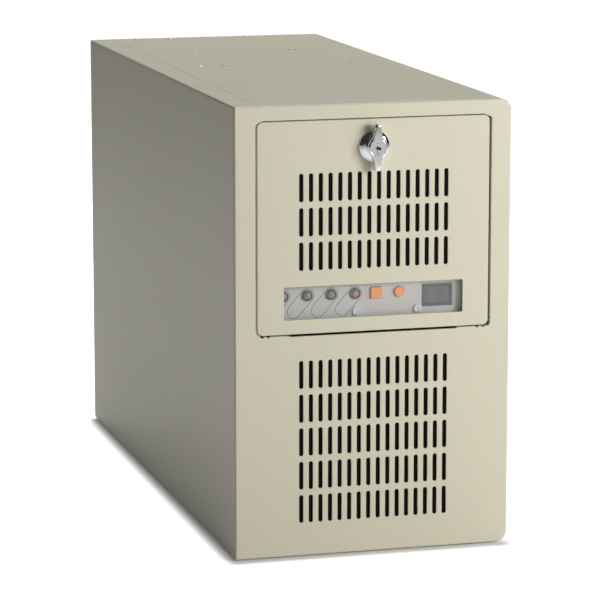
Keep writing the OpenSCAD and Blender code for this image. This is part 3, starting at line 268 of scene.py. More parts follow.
def make_grain_group():
    """Height of a fine pebbled finish: a small noise with a larger orange-peel noise under it."""
    group, given, out = new_group(
        "surface_grain",
        [("Grain", "NodeSocketFloat", 2600.0), ("Peel", "NodeSocketFloat", 520.0),
         ("Peel Share", "NodeSocketFloat", 0.5)],
        [("Height", "NodeSocketFloat"), ("Speck", "NodeSocketFloat")])
    place = add(group, "ShaderNodeTexCoord").outputs["Object"]
    small = add(group, "ShaderNodeTexNoise", {"Vector": place, "Scale": given["Grain"], "Detail": 2.0})
    large = add(group, "ShaderNodeTexNoise", {"Vector": place, "Scale": given["Peel"], "Detail": 1.0})
    mixed = add(group, "ShaderNodeMix", {0: given["Peel Share"], 2: small.outputs["Fac"],
                                         3: large.outputs["Fac"]}).outputs[0]
    group.links.new(mixed, out.inputs["Height"])
    group.links.new(ramp(group, small.outputs["Fac"], 0.60, 0.72), out.inputs["Speck"])
    return group


def make_brush_group():
    """Fine lines along one axis: noise on coordinates stretched across the lines."""
    group, given, out = new_group(
        "brush_lines",
        [("Stretch", "NodeSocketVector", (40.0, 2400.0, 2400.0))],
        [("Height", "NodeSocketFloat")])
    place = add(group, "ShaderNodeTexCoord").outputs["Object"]
    stretched = add(group, "ShaderNodeVectorMath", {0: place, 1: given["Stretch"]}, operation="MULTIPLY")
    lines = add(group, "ShaderNodeTexNoise", {"Vector": stretched.outputs[0], "Scale": 1.0, "Detail": 3.0})
    group.links.new(lines.outputs["Fac"], out.inputs["Height"])
    return group


def make_rub_and_highlight_group():
    """Where an edge is exposed: the rounded normal drifts from the face's own, broken up by noise. The mask
    paints a paler colour onto these edges, partly rubbed wear and partly painted edge highlight.
    """
    group, given, out = new_group(
        "edge_rub_and_highlight",
        [("Radius", "NodeSocketFloat", 0.0008), ("Break-up", "NodeSocketFloat", 300.0)],
        [("Mask", "NodeSocketFloat")])
    rounded = add(group, "ShaderNodeBevel", {"Radius": given["Radius"]}, samples=4)
    own = add(group, "ShaderNodeNewGeometry").outputs["Normal"]
    agree = add(group, "ShaderNodeVectorMath", {0: rounded.outputs[0], 1: own}, operation="DOT_PRODUCT")
    exposed = math_node(group, "SUBTRACT", 1.0, agree.outputs["Value"])
    place = add(group, "ShaderNodeTexCoord").outputs["Object"]
    patch = add(group, "ShaderNodeTexNoise", {"Vector": place, "Scale": given["Break-up"], "Detail": 3.0})
    group.links.new(math_node(group, "MULTIPLY", ramp(group, exposed, 0.02, 0.25),
                              ramp(group, patch.outputs["Fac"], 0.40, 0.62)), out.inputs["Mask"])
    return group


CLOUD = make_cloud_group()
GRAIN = make_grain_group()
BRUSH = make_brush_group()
RUB_AND_HIGHLIGHT = make_rub_and_highlight_group()


def use(tree, group, **values):
    node = tree.nodes.new("ShaderNodeGroup")
    node.node_tree = group
    for name, value in values.items():
        node.inputs[name.replace("_", " ")].default_value = value
    return node.outputs


def start(name):
    """A material with its Principled shader and an output."""
    material = bpy.data.materials.new(name)
    material.use_nodes = True
    tree = material.node_tree
    tree.nodes.clear()
    shader = tree.nodes.new("ShaderNodeBsdfPrincipled")
    out = tree.nodes.new("ShaderNodeOutputMaterial")
    tree.links.new(shader.outputs[0], out.inputs["Surface"])
    return material, tree, shader


def feed(tree, shader, **sockets):
    """Sets or links the shader's inputs, named with underscores for spaces."""
    for name, value in sockets.items():
        socket = shader.inputs[name.replace("_", " ")]
        if isinstance(value, bpy.types.NodeSocket):
            tree.links.new(value, socket)
        else:
            socket.default_value = value


def bump(tree, height, strength, distance):
    return add(tree, "ShaderNodeBump", {"Height": height, "Strength": strength,
                                        "Distance": distance}).outputs[0]


def tone(tree, colour, shade, lift=1.0):
    """A colour made darker or lighter by a shade centred on zero."""
    return add(tree, "ShaderNodeHueSaturation",
               {"Color": (*colour, 1.0), "Value": math_node(tree, "ADD", shade, lift)}).outputs[0]


def painted(name, colour, rough, grain, peel, size, drift=0.05, rub_and_highlight_colour=None, rub_and_highlight_share=0.35):
    """Paint on steel: drifting tone, pebbled height, and a paler colour on exposed edges, partly rubbed wear
    and partly painted edge highlight.
    """
    material, tree, shader = start(name)
    cloud = use(tree, CLOUD, Size=size, Amount=drift)
    grains = use(tree, GRAIN, Grain=grain, Peel=peel, Peel_Share=0.45)
    base = tone(tree, colour, cloud["Shade"])
    base = blend_colour(tree, math_node(tree, "MULTIPLY", grains["Speck"], 0.05), base,
                        (*[c * 0.8 for c in colour], 1.0))
    if rub_and_highlight_colour:
        # paler colour on exposed edges: painted edge highlight mixed with rubbed wear
        rub_and_highlight = use(tree, RUB_AND_HIGHLIGHT, Radius=0.0006)["Mask"]
        base = blend_colour(tree, math_node(tree, "MULTIPLY", rub_and_highlight, rub_and_highlight_share), base, (*rub_and_highlight_colour, 1.0))
    feed(tree, shader, Base_Color=base,
         Roughness=math_node(tree, "ADD", math_node(tree, "MULTIPLY", cloud["Mask"], 0.10), rough - 0.05),
         Normal=bump(tree, grains["Height"], 0.35, 0.00006))
    return material


def moulded(name, colour, rough, grain=2200.0, peel=700.0, depth=0.00004, drift=0.10):
    """Moulded plastic or rubber: even colour with a spark-eroded grain."""
    material, tree, shader = start(name)
    cloud = use(tree, CLOUD, Size=18.0, Amount=drift)
    grains = use(tree, GRAIN, Grain=grain, Peel=peel, Peel_Share=0.3)
    feed(tree, shader, Base_Color=tone(tree, colour, cloud["Shade"]),
         Roughness=math_node(tree, "ADD", math_node(tree, "MULTIPLY", grains["Height"], 0.16), rough - 0.08),
         Normal=bump(tree, grains["Height"], 0.4, depth))
    return material


def metal(name, colour, rough, stretch, depth=0.00001, drift=0.12, dull=0.12):
    """Bare metal with drawn lines and dull patches."""
    material, tree, shader = start(name)
    cloud = use(tree, CLOUD, Size=22.0, Amount=drift)
    lines = use(tree, BRUSH, Stretch=stretch)["Height"]
    feed(tree, shader, Base_Color=tone(tree, colour, cloud["Shade"]), Metallic=1.0,
         Roughness=math_node(tree, "ADD", math_node(tree, "MULTIPLY", lines, dull), rough - dull / 2),
         Normal=bump(tree, lines, 0.35, depth))
    return material


def make_zinc():
    """Zinc-plated sheet: large faint crystals over fine rolling lines."""
    material, tree, shader = start("zinc_steel")
    place = object_point(tree)
    crystal = add(tree, "ShaderNodeTexVoronoi", {"Vector": place, "Scale": 260.0}, feature="F1")
    flake = add(tree, "ShaderNodeSeparateColor", {"Color": crystal.outputs["Color"]}).outputs[0]
    lines = use(tree, BRUSH, Stretch=(60.0, 60.0, 1800.0))["Height"]
    shade = math_node(tree, "MULTIPLY", math_node(tree, "SUBTRACT", flake, 0.5), 0.16)
    feed(tree, shader, Base_Color=tone(tree, (0.50, 0.51, 0.52), shade), Metallic=1.0,
         Roughness=math_node(tree, "ADD", math_node(tree, "MULTIPLY", flake, 0.16), 0.26),
         Normal=bump(tree, lines, 0.3, 0.00001))
    return material


def make_chrome():
    """Polished plate with hair-fine polishing marks."""
    material, tree, shader = start("lock_chrome")
    marks = use(tree, BRUSH, Stretch=(2600.0, 2600.0, 120.0))["Height"]
    cloud = use(tree, CLOUD, Size=90.0, Amount=0.05)
    feed(tree, shader, Base_Color=tone(tree, (0.86, 0.865, 0.88), cloud["Shade"]), Metallic=1.0,
         Roughness=math_node(tree, "ADD", math_node(tree, "MULTIPLY", marks, 0.06), 0.05),
         Normal=bump(tree, marks, 0.12, 0.000004))
    return material


def make_foam():
    """Open-cell foam: the pits between the cell edges are darkened with painted shade, and the edges are
    raised by a bump.
    """
    material, tree, shader = start("filter_foam")
    place = object_point(tree)
    cell = add(tree, "ShaderNodeTexVoronoi", {"Vector": place, "Scale": 820.0}, feature="DISTANCE_TO_EDGE")
    wall_and_pit_shade = ramp(tree, cell.outputs["Distance"], 0.02, 0.16, 1.0, 0.0)
    # painted shade: the pits get a colour ten times darker than the cell walls
    base = blend_colour(tree, wall_and_pit_shade, (0.0012, 0.0012, 0.0013, 1.0), (0.012, 0.012, 0.012, 1.0))
    feed(tree, shader, Base_Color=base, Roughness=0.95, Specular_IOR_Level=0.1,
         Normal=bump(tree, wall_and_pit_shade, 0.8, 0.0004))
    return material


def make_acrylic():
    """Clear sheet: mostly seen through, with a sheen that grows towards the edge of sight."""
    material, tree, shader = start("window_acrylic")
    haze = use(tree, CLOUD, Size=14.0, Amount=0.04)
    fresnel = add(tree, "ShaderNodeFresnel", {"IOR": 1.49}).outputs[0]
    alpha = math_node(tree, "ADD", math_node(tree, "MULTIPLY", fresnel, 0.5),
                      math_node(tree, "ADD", haze["Shade"], 0.055))
    feed(tree, shader, Base_Color=(0.80, 0.82, 0.83, 1.0), Roughness=0.06, Alpha=alpha,
         Specular_IOR_Level=0.9)
    return material


def make_lens(name, colour, glow, strength, core=None):
    """Domed lamp lens with a ribbed diffuser behind the skin; a core is a coloured spot in its middle."""
    material, tree, shader = start(name)
    place = object_point(tree)
    ribs = add(tree, "ShaderNodeTexVoronoi", {"Vector": place, "Scale": 1300.0}).outputs["Distance"]
    base = blend_colour(tree, ramp(tree, ribs, 0.1, 0.7), (*[c * 1.25 for c in colour], 1.0),
                        (*[c * 0.7 for c in colour], 1.0))
    if core:
        axis = add(tree, "ShaderNodeSeparateXYZ", {"Vector": place}).outputs
        off = [math_node(tree, "SUBTRACT", axis[0], (LAMP_X + 3 * LAMP_PITCH + 0.3) * MM),
               math_node(tree, "SUBTRACT", axis[2], LAMP_Z * MM)]
        away = math_node(tree, "SQRT", math_node(tree, "ADD", *[math_node(tree, "MULTIPLY", o,
            o) for o in off]))
        base = blend_colour(tree, ramp(tree, away, 0.0013, 0.0023, 1.0, 0.0), base, (*core, 1.0))
    feed(tree, shader, Base_Color=base, Roughness=0.14, Coat_Weight=0.6, Coat_Roughness=0.05,
         Normal=bump(tree, ribs, 0.25, 0.00015))
    if strength:
        feed(tree, shader, Emission_Color=(*glow, 1.0), Emission_Strength=strength)
    return material


def make_board(name, mask, copper, seed):
    """Lacquered board: copper tracks under the lacquer, through-holes and pads."""
    material, tree, shader = start(name)
    place = object_point(tree)
    shifted = add(tree, "ShaderNodeVectorMath", {0: place, 1: (seed, seed, seed)}, operation="ADD").outputs[0]
    across = add(tree, "ShaderNodeTexBrick",
                 {"Vector": add(tree, "ShaderNodeMapping", {"Vector": shifted,
                                                            "Rotation": (0.0, QUARTER, 0.0)}).outputs[0],
                  "Scale": 120.0, "Mortar Size": 0.03, "Brick Width": 1.7, "Row Height": 0.28,
                  "Color1": BLACK, "Color2": BLACK, "Mortar": WHITE})
    along = add(tree, "ShaderNodeTexBrick",
                {"Vector": add(tree, "ShaderNodeMapping", {"Vector": shifted,
                                                           "Rotation": (QUARTER, 0.0, QUARTER)}).outputs[0],
                 "Scale": 120.0, "Mortar Size": 0.03, "Brick Width": 2.3, "Row Height": 0.24,
                 "Color1": BLACK, "Color2": BLACK, "Mortar": WHITE})
    where = ramp(tree, noise(tree, shifted, 34.0, 1.0), 0.48, 0.50)
    tracks = blend_colour(tree, where, across.outputs["Color"], along.outputs["Color"])
    clear = ramp(tree, noise(tree, shifted, 55.0, 2.0), 0.42, 0.45)
    line = math_node(tree, "MULTIPLY", add(tree, "ShaderNodeSeparateColor",
                                           {"Color": tracks}).outputs[0], clear)
    dots = add(tree, "ShaderNodeTexVoronoi", {"Vector": shifted, "Scale": 210.0, "Randomness": 0.75})
    pad = math_node(tree, "MULTIPLY", ramp(tree, dots.outputs["Distance"], 0.15, 0.19, 1.0, 0.0),
                    ramp(tree, noise(tree, shifted, 40.0), 0.50, 0.53))
    base = blend_colour(tree, line, (*mask, 1.0), (*[c * 1.9 + 0.01 for c in mask], 1.0))
    base = blend_colour(tree, pad, base, (*copper, 1.0))
    height = math_node(tree, "ADD", line, pad)
    feed(tree, shader, Base_Color=base, Metallic=math_node(tree, "MULTIPLY", pad, 0.9), Roughness=0.28,
         Coat_Weight=0.3, Normal=bump(tree, height, 0.4, 0.00004))
    return material


def make_components():
    """Parts on the board: dark sleeves and chips, bare tops, and a finned sink, told apart by place."""
    material, tree, shader = start("component_mix")
    place = add(tree, "ShaderNodeTexCoord").outputs["Object"]
    axis = add(tree, "ShaderNodeSeparateXYZ", {"Vector": place}).outputs
    low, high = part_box("board_components")
    top = ramp(tree, axis[0], low[0] + 5.2 * MM, low[0] + 5.0 * MM)
    sink_foot, sink_head = (0.1525, 0.1530), (0.1835, 0.1830)
    finned_z = math_node(tree, "MULTIPLY", ramp(tree, axis[2], *sink_foot), ramp(tree, axis[2], *sink_head))
    grain = use(tree, GRAIN, Grain=2400.0, Peel=800.0, Peel_Share=0.3)
    tall = ramp(tree, axis[0], low[0] + 0.3 * MM, low[0] + 0.1 * MM)
    base = blend_colour(tree, finned_z, (0.020, 0.021, 0.024, 1.0), (0.42, 0.43, 0.45, 1.0))
    base = blend_colour(tree, math_node(tree, "MULTIPLY", top, 0.65), base, (0.48, 0.48, 0.50, 1.0))
    metal = math_node(tree, "MAXIMUM", finned_z, math_node(tree, "MULTIPLY", tall, 0.8))
    feed(tree, shader, Base_Color=base, Metallic=metal,
         Roughness=0.36, Normal=bump(tree, grain["Height"], 0.25, 0.00003))
    return material


def make_braid(name, colour, pitch):
    """Braided sleeve: two crossed waves that pass over and under, painted lighter where a strand passes over
    and darker where it passes under, as painted highlight and shade.
    """
    material, tree, shader = start(name)
    place = object_point(tree, turn=(0.6, 0.4, 0.78))
    one = add(tree, "ShaderNodeTexWave", {"Vector": place, "Scale": pitch, "Distortion": 0.4},
              bands_direction="X")
    two = add(tree, "ShaderNodeTexWave", {"Vector": place, "Scale": pitch, "Distortion": 0.4},
              bands_direction="Y")
    weave_highlight_and_shade = math_node(tree, "MULTIPLY", one.outputs["Fac"], two.outputs["Fac"])
    # painted highlight and shade: the sleeve colour halved under the crossings and raised by half over them
    base = blend_colour(tree, weave_highlight_and_shade, (*[c * 0.5 for c in colour], 1.0),
                        (*[min(c * 1.5, 1.0) for c in colour], 1.0))
    feed(tree, shader, Base_Color=base, Roughness=0.55, Normal=bump(tree, weave_highlight_and_shade, 0.7, 0.0003))
    return material


PAINT = (0.600, 0.575, 0.445)
FINISH = {
    # case_paint's last colour and share give the paler exposed edges: painted edge highlight mixed with
    # rubbed wear
    "case_paint": painted("case_paint", PAINT, 0.40, 2400.0, 560.0, 5.0, 0.035, (0.72, 0.70, 0.60), 0.25),
    "plate_paint": painted("plate_paint", (0.56, 0.555, 0.52), 0.45, 2600.0, 700.0, 12.0, 0.04),
    "zinc_steel": make_zinc(),
    "lock_chrome": make_chrome(),
    "black_plastic": moulded("black_plastic", (0.016, 0.016, 0.018), 0.42),
    "rocker_plastic": moulded("rocker_plastic", (0.075, 0.077, 0.084), 0.24, 3200.0, 900.0, 0.00002),
    "window_acrylic": make_acrylic(),
    "filter_foam": make_foam(),
    "foot_rubber": moulded("foot_rubber", (0.02, 0.02, 0.021), 0.75, 1800.0, 500.0, 0.00008),
    "grey_lens": make_lens("grey_lens", (0.20, 0.205, 0.215), (1.0, 0.5, 0.2), 0.0),
    "red_lens": make_lens("red_lens", (0.20, 0.19, 0.19), (1.0, 0.20, 0.05), 0.0, (0.60, 0.17, 0.08)),
    "orange_plastic": moulded("orange_plastic", (0.92, 0.31, 0.05), 0.30, 3000.0, 900.0, 0.00002, 0.04),
    "circuit_board": make_board("circuit_board", (0.012, 0.085, 0.045), (0.72, 0.60, 0.34), 3.1),
    "card_board": make_board("card_board", (0.012, 0.045, 0.11), (0.78, 0.62, 0.32), 7.7),
    "supply_board": make_board("supply_board", (0.34, 0.20, 0.08), (0.55, 0.55, 0.55), 5.2),
    "connector_plastic": moulded("connector_plastic", (0.74, 0.70, 0.56), 0.38),
    "component_mix": make_components(),
    "brass": metal("brass", (0.78, 0.58, 0.26), 0.30, (900.0, 900.0, 900.0)),
    "heatsink_aluminium": metal("heatsink_aluminium", (0.80, 0.81, 0.82), 0.34, (1600.0, 50.0, 1600.0)),
    "drive_aluminium": metal("drive_aluminium", (0.52, 0.53, 0.55), 0.46, (500.0, 500.0, 500.0), 0.00006),
    "lead_sleeve": make_braid("lead_sleeve", (0.022, 0.022, 0.024), 420.0),
    "red_lead": moulded("red_lead", (0.50, 0.025, 0.02), 0.38, 1500.0, 400.0, 0.00003),
    "grey_lead": moulded("grey_lead", (0.16, 0.16, 0.17), 0.45, 1500.0, 400.0, 0.00003),
}
for entry in frame["record"]["subparts"]:
    mesh = frame["nodes"][entry["node"]].data
    mesh.materials.clear()
    mesh.materials.append(FINISH[entry["material_slot"]])

# ---- surface helpers ---------------------------------------------------------


def grid(points, around=True):
    """Quads over a grid of points; around joins each row's end to its start."""
    rows, columns = points.shape[:2]
    index = np.arange(rows * columns).reshape(rows, columns)
    if around:
        index = np.hstack([index, index[:, :1]])
    quads = np.stack([index[:-1, :-1], index[1:, :-1], index[1:, 1:], index[:-1, 1:]], -1)
    return points.reshape(-1, 3), quads.reshape(-1, 4)


def turned(profile, centre, axis, sides=48):
    """A profile of (radius, along) pairs turned about an axis: each ring is
    centre + along * axis + radius * (cos a, sin a) in the plane across the axis."""
    profile = np.asarray(profile, float)
    angle = np.linspace(0.0, 2 * np.pi, sides, endpoint=False)
    keep = [i for i in range(3) if i != axis]
    points = np.zeros((len(profile), sides, 3))
    points[..., axis] = profile[:, 1, None]
    points[..., keep[0]] = profile[:, 0, None] * np.cos(angle)
    points[..., keep[1]] = profile[:, 0, None] * np.sin(angle)
    return grid(points + np.asarray(centre, float))


def round_rect(x, z, radii, grow, steps=8, top=None, bottom=None):
    """A closed outline of a rectangle grown by an amount, its corners arcs of their own radii
    plus that amount, in the order lower right, upper right, upper left, lower left. top and bottom
    give extra points along those sides."""
    corner = [(x[1], z[0], 1, -1), (x[1], z[1], 1, 1), (x[0], z[1], -1, 1), (x[0], z[0], -1, -1)]
    pieces = []
    for k, ((cx, cz, sx, sz), r) in enumerate(zip(corner, radii)):
        angle = np.radians(-90 + 90 * k + np.linspace(0, 90, steps))
        radius = max(r + grow, 0.001)
        middle = np.array([cx - sx * r, cz - sz * r]) if r + grow > 0 else np.array([cx + sx * grow,
            cz + sz * grow])
        pieces.append(middle + radius * np.stack([np.cos(angle), np.sin(angle)], -1))
        side = {1: top, 3: bottom}.get(k)
        if side:
            pieces.append(side(grow))
    return np.concatenate(pieces)


def slot_outline(x, z, grow, steps=9):
    """A closed upright slot with round ends: two half circles a slot's straight length apart."""
    half = (SLOT_H - SLOT_W) / 2
    radius = SLOT_W / 2 + grow
    up = np.linspace(0.0, np.pi, steps)
    ends = [np.stack([radius * np.cos(up), half + radius * np.sin(up)], -1),
            np.stack([-radius * np.cos(up), -half - radius * np.sin(up)], -1)]
    return np.concatenate(ends) + (x, z)


def circle_outline(x, z, r, steps=40):
    angle = np.linspace(0.0, 2 * np.pi, steps, endpoint=False)
    return np.stack([x + r * np.cos(angle), z + r * np.sin(angle)], -1)


def inside(outline, points):
    """Which points lie in a closed outline: an odd number of its sides crosses the ray to the right."""
    a, b = outline, np.roll(outline, -1, 0)
    px, pz = points[:, None, 0], points[:, None, 1]
    rises = (a[None, :, 1] > pz) != (b[None, :, 1] > pz)
    slope = (b[:, 0] - a[:, 0]) / np.where(b[:, 1] == a[:, 1], 1e-12, b[:, 1] - a[:, 1])
    crossing = a[None, :, 0] + (pz - a[None, :, 1]) * slope[None, :]
    return (rises & (px < crossing)).sum(1) % 2 == 1


def flat_fill(outlines):
    """Triangles between the first outline and the others, which are its holes."""
    points = np.concatenate(outlines)
    edges, at = [], 0
    for ring in outlines:
        index = np.arange(len(ring)) + at
        edges.append(np.stack([index, np.roll(index, -1)], -1))
        at += len(ring)
    made = delaunay_2d_cdt([tuple(p) for p in points], np.concatenate(edges).tolist(), [], 1, 1e-6)
    spots = np.array([tuple(v) for v in made[0]])
    faces = np.array(made[2])
    middle = spots[faces].mean(1)
    keep = inside(outlines[0], middle)
    for ring in outlines[1:]:
        near = keep & (np.abs(middle - ring.mean(0)) <= np.ptp(ring, axis=0) / 2).all(1)
        keep[near] = ~inside(ring, middle[near])
    return spots, faces[keep]


def pressed_sheet(rings, to_space, back):
    """A sheet with formed edges. Each ring is (outline(grow), profile, limit): the outline is carried
    through the profile's (grow, depth) pairs, no deeper than its limit at each point. The rings'
    first outlines are filled on the front plane and their last ones on the back plane."""
    surfaces, fronts, backs = [], [], []
    for outline, profile, limit in rings:
        lines = [outline(grow) for grow, _ in profile]
        fronts.append(lines[0])
        backs.append(lines[-1])
        deepest = limit(lines[0]) if limit else np.full(len(lines[0]), 1e3)
        rows = [to_space(line[:, 0], line[:, 1], np.minimum(depth, np.maximum(deepest, back)))
                for line, (_, depth) in zip(lines, profile)]
        surfaces.append(grid(np.stack(rows)))
    for outlines, depth in ((fronts, 0.0), (backs, back)):
        spots, faces = flat_fill(outlines)
        surfaces.append((to_space(spots[:, 0], spots[:, 1], np.full(len(spots), depth)), faces))
    return surfaces


def steady_normals(piece):
    """Lets wide flat faces keep their own normals where they run into a narrow rounded edge."""
    even = piece.modifiers.new("even", "WEIGHTED_NORMAL")
    even.mode = "FACE_AREA"
    even.weight = 50
    even.keep_sharp = True


def build(name, surfaces, body, finish, replaced=(), crease=35.0):
    """Joins surfaces into one mesh, closes their seams, turns faces outwards and lets it ride."""
    points = np.concatenate([np.asarray(p).reshape(-1, 3) for p, _ in surfaces]) * MM
    faces, at = [], 0
    for spots, shape in surfaces:
        faces += (np.asarray(shape) + at).tolist()
        at += len(np.asarray(spots).reshape(-1, 3))
    mesh = bpy.data.meshes.new(name)
    mesh.from_pydata(points.tolist(), [], faces)
    work = bmesh.new()
    work.from_mesh(mesh)
    bmesh.ops.remove_doubles(work, verts=work.verts, dist=2e-6)
    bmesh.ops.dissolve_degenerate(work, dist=1e-7, edges=work.edges)
    bmesh.ops.recalc_face_normals(work, faces=work.faces)
    work.to_mesh(mesh)
    work.free()
    mesh.shade_smooth()
    mesh.set_sharp_from_angle(angle=math.radians(crease))
    piece = bpy.data.objects.new(name, mesh)
    bpy.context.scene.collection.objects.link(piece)
    mesh.materials.append(FINISH[finish])
    steady_normals(piece)
    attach(piece, body)
    if replaced:
        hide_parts(*replaced)
    return piece


def rounding(radius, steps=5):
    """Pairs of (grow, depth) for an outward edge: a quarter circle from the face to the side."""
    angle = np.linspace(0.0, np.pi / 2, steps)
    return [(-radius + radius * math.sin(a), radius - radius * math.cos(a)) for a in angle]


def hole_rounding(radius, steps=4):
    """Pairs of (grow, depth) for a hole's edge: a quarter circle from the face into the hole."""
    angle = np.linspace(0.0, np.pi / 2, steps)
    return [(radius - radius * math.sin(a), radius - radius * math.cos(a)) for a in angle]


def on_face(x, z, depth):
    """Front sheets: outline in X and Z, depth going back from the face."""
    return np.stack([x, FACE_Y + depth, z], -1)


def slot_rings(rows, top_row):
    """The grille's slots, each with a slightly rolled edge."""
    profile = hole_rounding(0.25, 3) + [(0.0, SHEET)]
    spots = [((c - (COLUMNS - 1) / 2) * COLUMN_PITCH, top_row - r * ROW_PITCH)
             for r in range(rows) for c in range(COLUMNS)]
    return [(lambda grow, x=x, z=z: slot_outline(x, z, grow), profile, None) for x, z in spots]


# ---- painted sheets ----------------------------------------------------------


def notch(x, edge, up, grow, steps=7):
    """Part of a circle let into a straight edge, from the angle asin(grow / radius) to its mirror, in
    the order that an outline runs: leftwards along the top and rightwards along the bottom."""
    radius = NOTCH_R + grow
    start = math.asin(min(grow / radius, 1.0))
    angle = np.linspace(start, np.pi - start, steps)
    return np.stack([x + up * radius * np.cos(angle), edge + up * radius * np.sin(angle)], -1)


def make_front_panel():
    open_x = DOOR_HIGH[0] + DOOR_GAP
    open_z = (DOOR_LOW[2] - SILL_GAP, DOOR_HIGH[2] + HEAD_GAP)
    middle_z = DOOR_LOW[2] - DOOR_GAP
    notch_x = (open_x - 9.4, open_x - 9.4 + NOTCH_PITCH)
    corner = DOOR_CORNER - 1.5

    def outer(grow):
        return round_rect((-HALF_W, HALF_W), (FOOT, CASE_TOP), (SIDE_RADIUS, SIDE_RADIUS, 1.2, 1.2), grow)

    def top_edge(grow):
        return np.concatenate([notch(x, open_z[1], 1, grow) for x in (notch_x[1], -notch_x[1])])

    def bottom_edge(grow):
        ends = [[notch(x, open_z[0], -1,
                       grow) for x in sorted(side * n for n in notch_x)] for side in (-1, 1)]
        half, low, high = FOLD_BREAK + grow, middle_z - grow, open_z[0] - grow
        step = np.array([(-half, high), (-half + 0.01, low), (half - 0.01, low), (half, high)])
        return np.concatenate(ends[0] + [step] + ends[1])

    def opening(grow):
        return round_rect((-open_x, open_x), open_z, (corner,) * 4, grow, top=top_edge, bottom=bottom_edge)

    def fold_limit(line):
        cut = (line[:, 1] < open_z[0] - 0.55) | (line[:, 1] > open_z[1] + 0.55)
        return np.where(cut, SHEET, OPENING_FOLD)

    tuck = SHEET + 0.1
    outer_profile = rounding(1.1) + [(0.0, SHEET), (-tuck, SHEET), (-tuck, PANEL_RETURN),
                                     (-tuck - SHEET, PANEL_RETURN), (-tuck - SHEET, SHEET)]
    fold_profile = hole_rounding(0.5) + [(0.0, OPENING_FOLD), (SHEET, OPENING_FOLD), (SHEET, SHEET)]
    rings = [(outer, outer_profile, None), (opening, fold_profile, fold_limit)] + slot_rings(5, LOWER_ROW)
    surfaces = pressed_sheet(rings, on_face, SHEET)
    build("front_panel_sheet", surfaces, "case", "case_paint", ["front_panel"])


def make_door():
    hinge_z = DOOR_LOW[2] + HINGE_INSET

    def outer(grow):
        return round_rect((DOOR_LOW[0], DOOR_HIGH[0]), (DOOR_LOW[2], DOOR_HIGH[2]), (DOOR_CORNER,) * 4, grow)

    def fold_limit(line):
        below = np.clip(hinge_z - line[:, 1], 0.0, HINGE_INSET)
        ear = HINGE_INSET + np.sqrt(HINGE_INSET ** 2 - below ** 2) * 0.98
        foot = (np.abs(line[:, 0]) < DOOR_HIGH[0] - 3.0) & (line[:, 1] < hinge_z)
        return np.where(foot, 3.0, np.where(line[:, 1] < hinge_z, ear, DOOR_FOLD))

    window_x = (PANE_LOW[0] + 5.0, PANE_HIGH[0] - 5.0)
    window_z = (PANE_LOW[2] + 4.0, PANE_HIGH[2] - 4.0)

    def window(grow):
        return round_rect(window_x, window_z, (1.0,) * 4, grow)

    def lock_hole(grow):
        return circle_outline(0.0, LOCK_Z, 8.6 + grow)

    outer_profile = rounding(0.6) + [(0.0, DOOR_FOLD), (-SHEET, DOOR_FOLD), (-SHEET, SHEET)]
    rings = [(outer, outer_profile, fold_limit),
             (window, hole_rounding(0.35) + [(0.0, SHEET)], None),
             (lock_hole, [(0.0, 0.0), (0.0, SHEET)], None)] + slot_rings(3, UPPER_ROW)
    build("door_sheet", pressed_sheet(rings, on_face, SHEET), "door", "case_paint", ["front_door"])


def make_side_cover():
    """The side cover: a flat side whose top, bottom and rear edges are folded in."""
    front_y = COVER_LOW[1]
    bend = 1.6

    def outer(grow):
        return round_rect((front_y, REAR_Y), (FOOT, CASE_TOP), (0.8, 0.8, 0.4, 0.4), grow)

    def fold_limit(line):
        top_or_bottom = (line[:, 1] > CASE_TOP - 1.9) | (line[:, 1] < FOOT + 1.9)
        rear = line[:, 0] > REAR_Y - 1.9
        return np.where(top_or_bottom, COVER_FLANGE, np.where(rear, REAR_FLANGE, SHEET))

    def on_side(y, z, depth):
        return np.stack([COVER_LOW[0] + depth, y, z], -1)

    profile = rounding(bend, 6) + [(0.0, COVER_FLANGE), (-SHEET, COVER_FLANGE), (-SHEET, SHEET)]
    build("side_cover_sheet", pressed_sheet([(outer, profile, fold_limit)], on_side, SHEET),
          "side_cover", "case_paint", ["left_side_cover"])


make_front_panel()
make_door()
make_side_cover()

# ---- lock --------------------------------------------------------------------


def knob_outline(grow, steps=60):
    """The winged knob's outline, a function of the angle a round it: z = reach cos a, and x is the
    larger of a disc, sqrt(r^2 - z^2), and a tail that narrows away from it and rounds at its tip."""
    reach = (KNOB_HIGH[2] - KNOB_LOW[2]) / 2 + grow
    disc = 7.35 + grow
    angle = np.linspace(0.0, 2 * np.pi, steps * 2, endpoint=False)
    z = reach * np.sign(np.cos(angle)) * np.abs(np.cos(angle)) ** 0.8
    away = np.abs(z)
    tail = 2.3 + grow + 3.6 * np.exp(-np.maximum(away - 5.0, 0.0) / 2.6)
    tip = np.sqrt(np.clip(1.0 - (np.clip(away - (reach - 2.4), 0.0, 2.4) / 2.4) ** 2, 0.0, 1.0))
    round_part = np.sqrt(np.clip(disc ** 2 - z ** 2, 0.0, None))
    half = np.maximum(round_part, tail * tip * (away > 3.0))
    return np.stack([half * np.sign(np.sin(angle)), z + LOCK_Z], -1)


def polar_outline(radius_of, steps=60):
    """A closed outline with the same angles as the knob's: radius_of(angle) gives its radius."""
    angle = np.linspace(0.0, 2 * np.pi, steps * 2, endpoint=False)
    r = radius_of(angle)
    return np.stack([r * np.sin(angle), r * np.cos(angle) + LOCK_Z], -1)


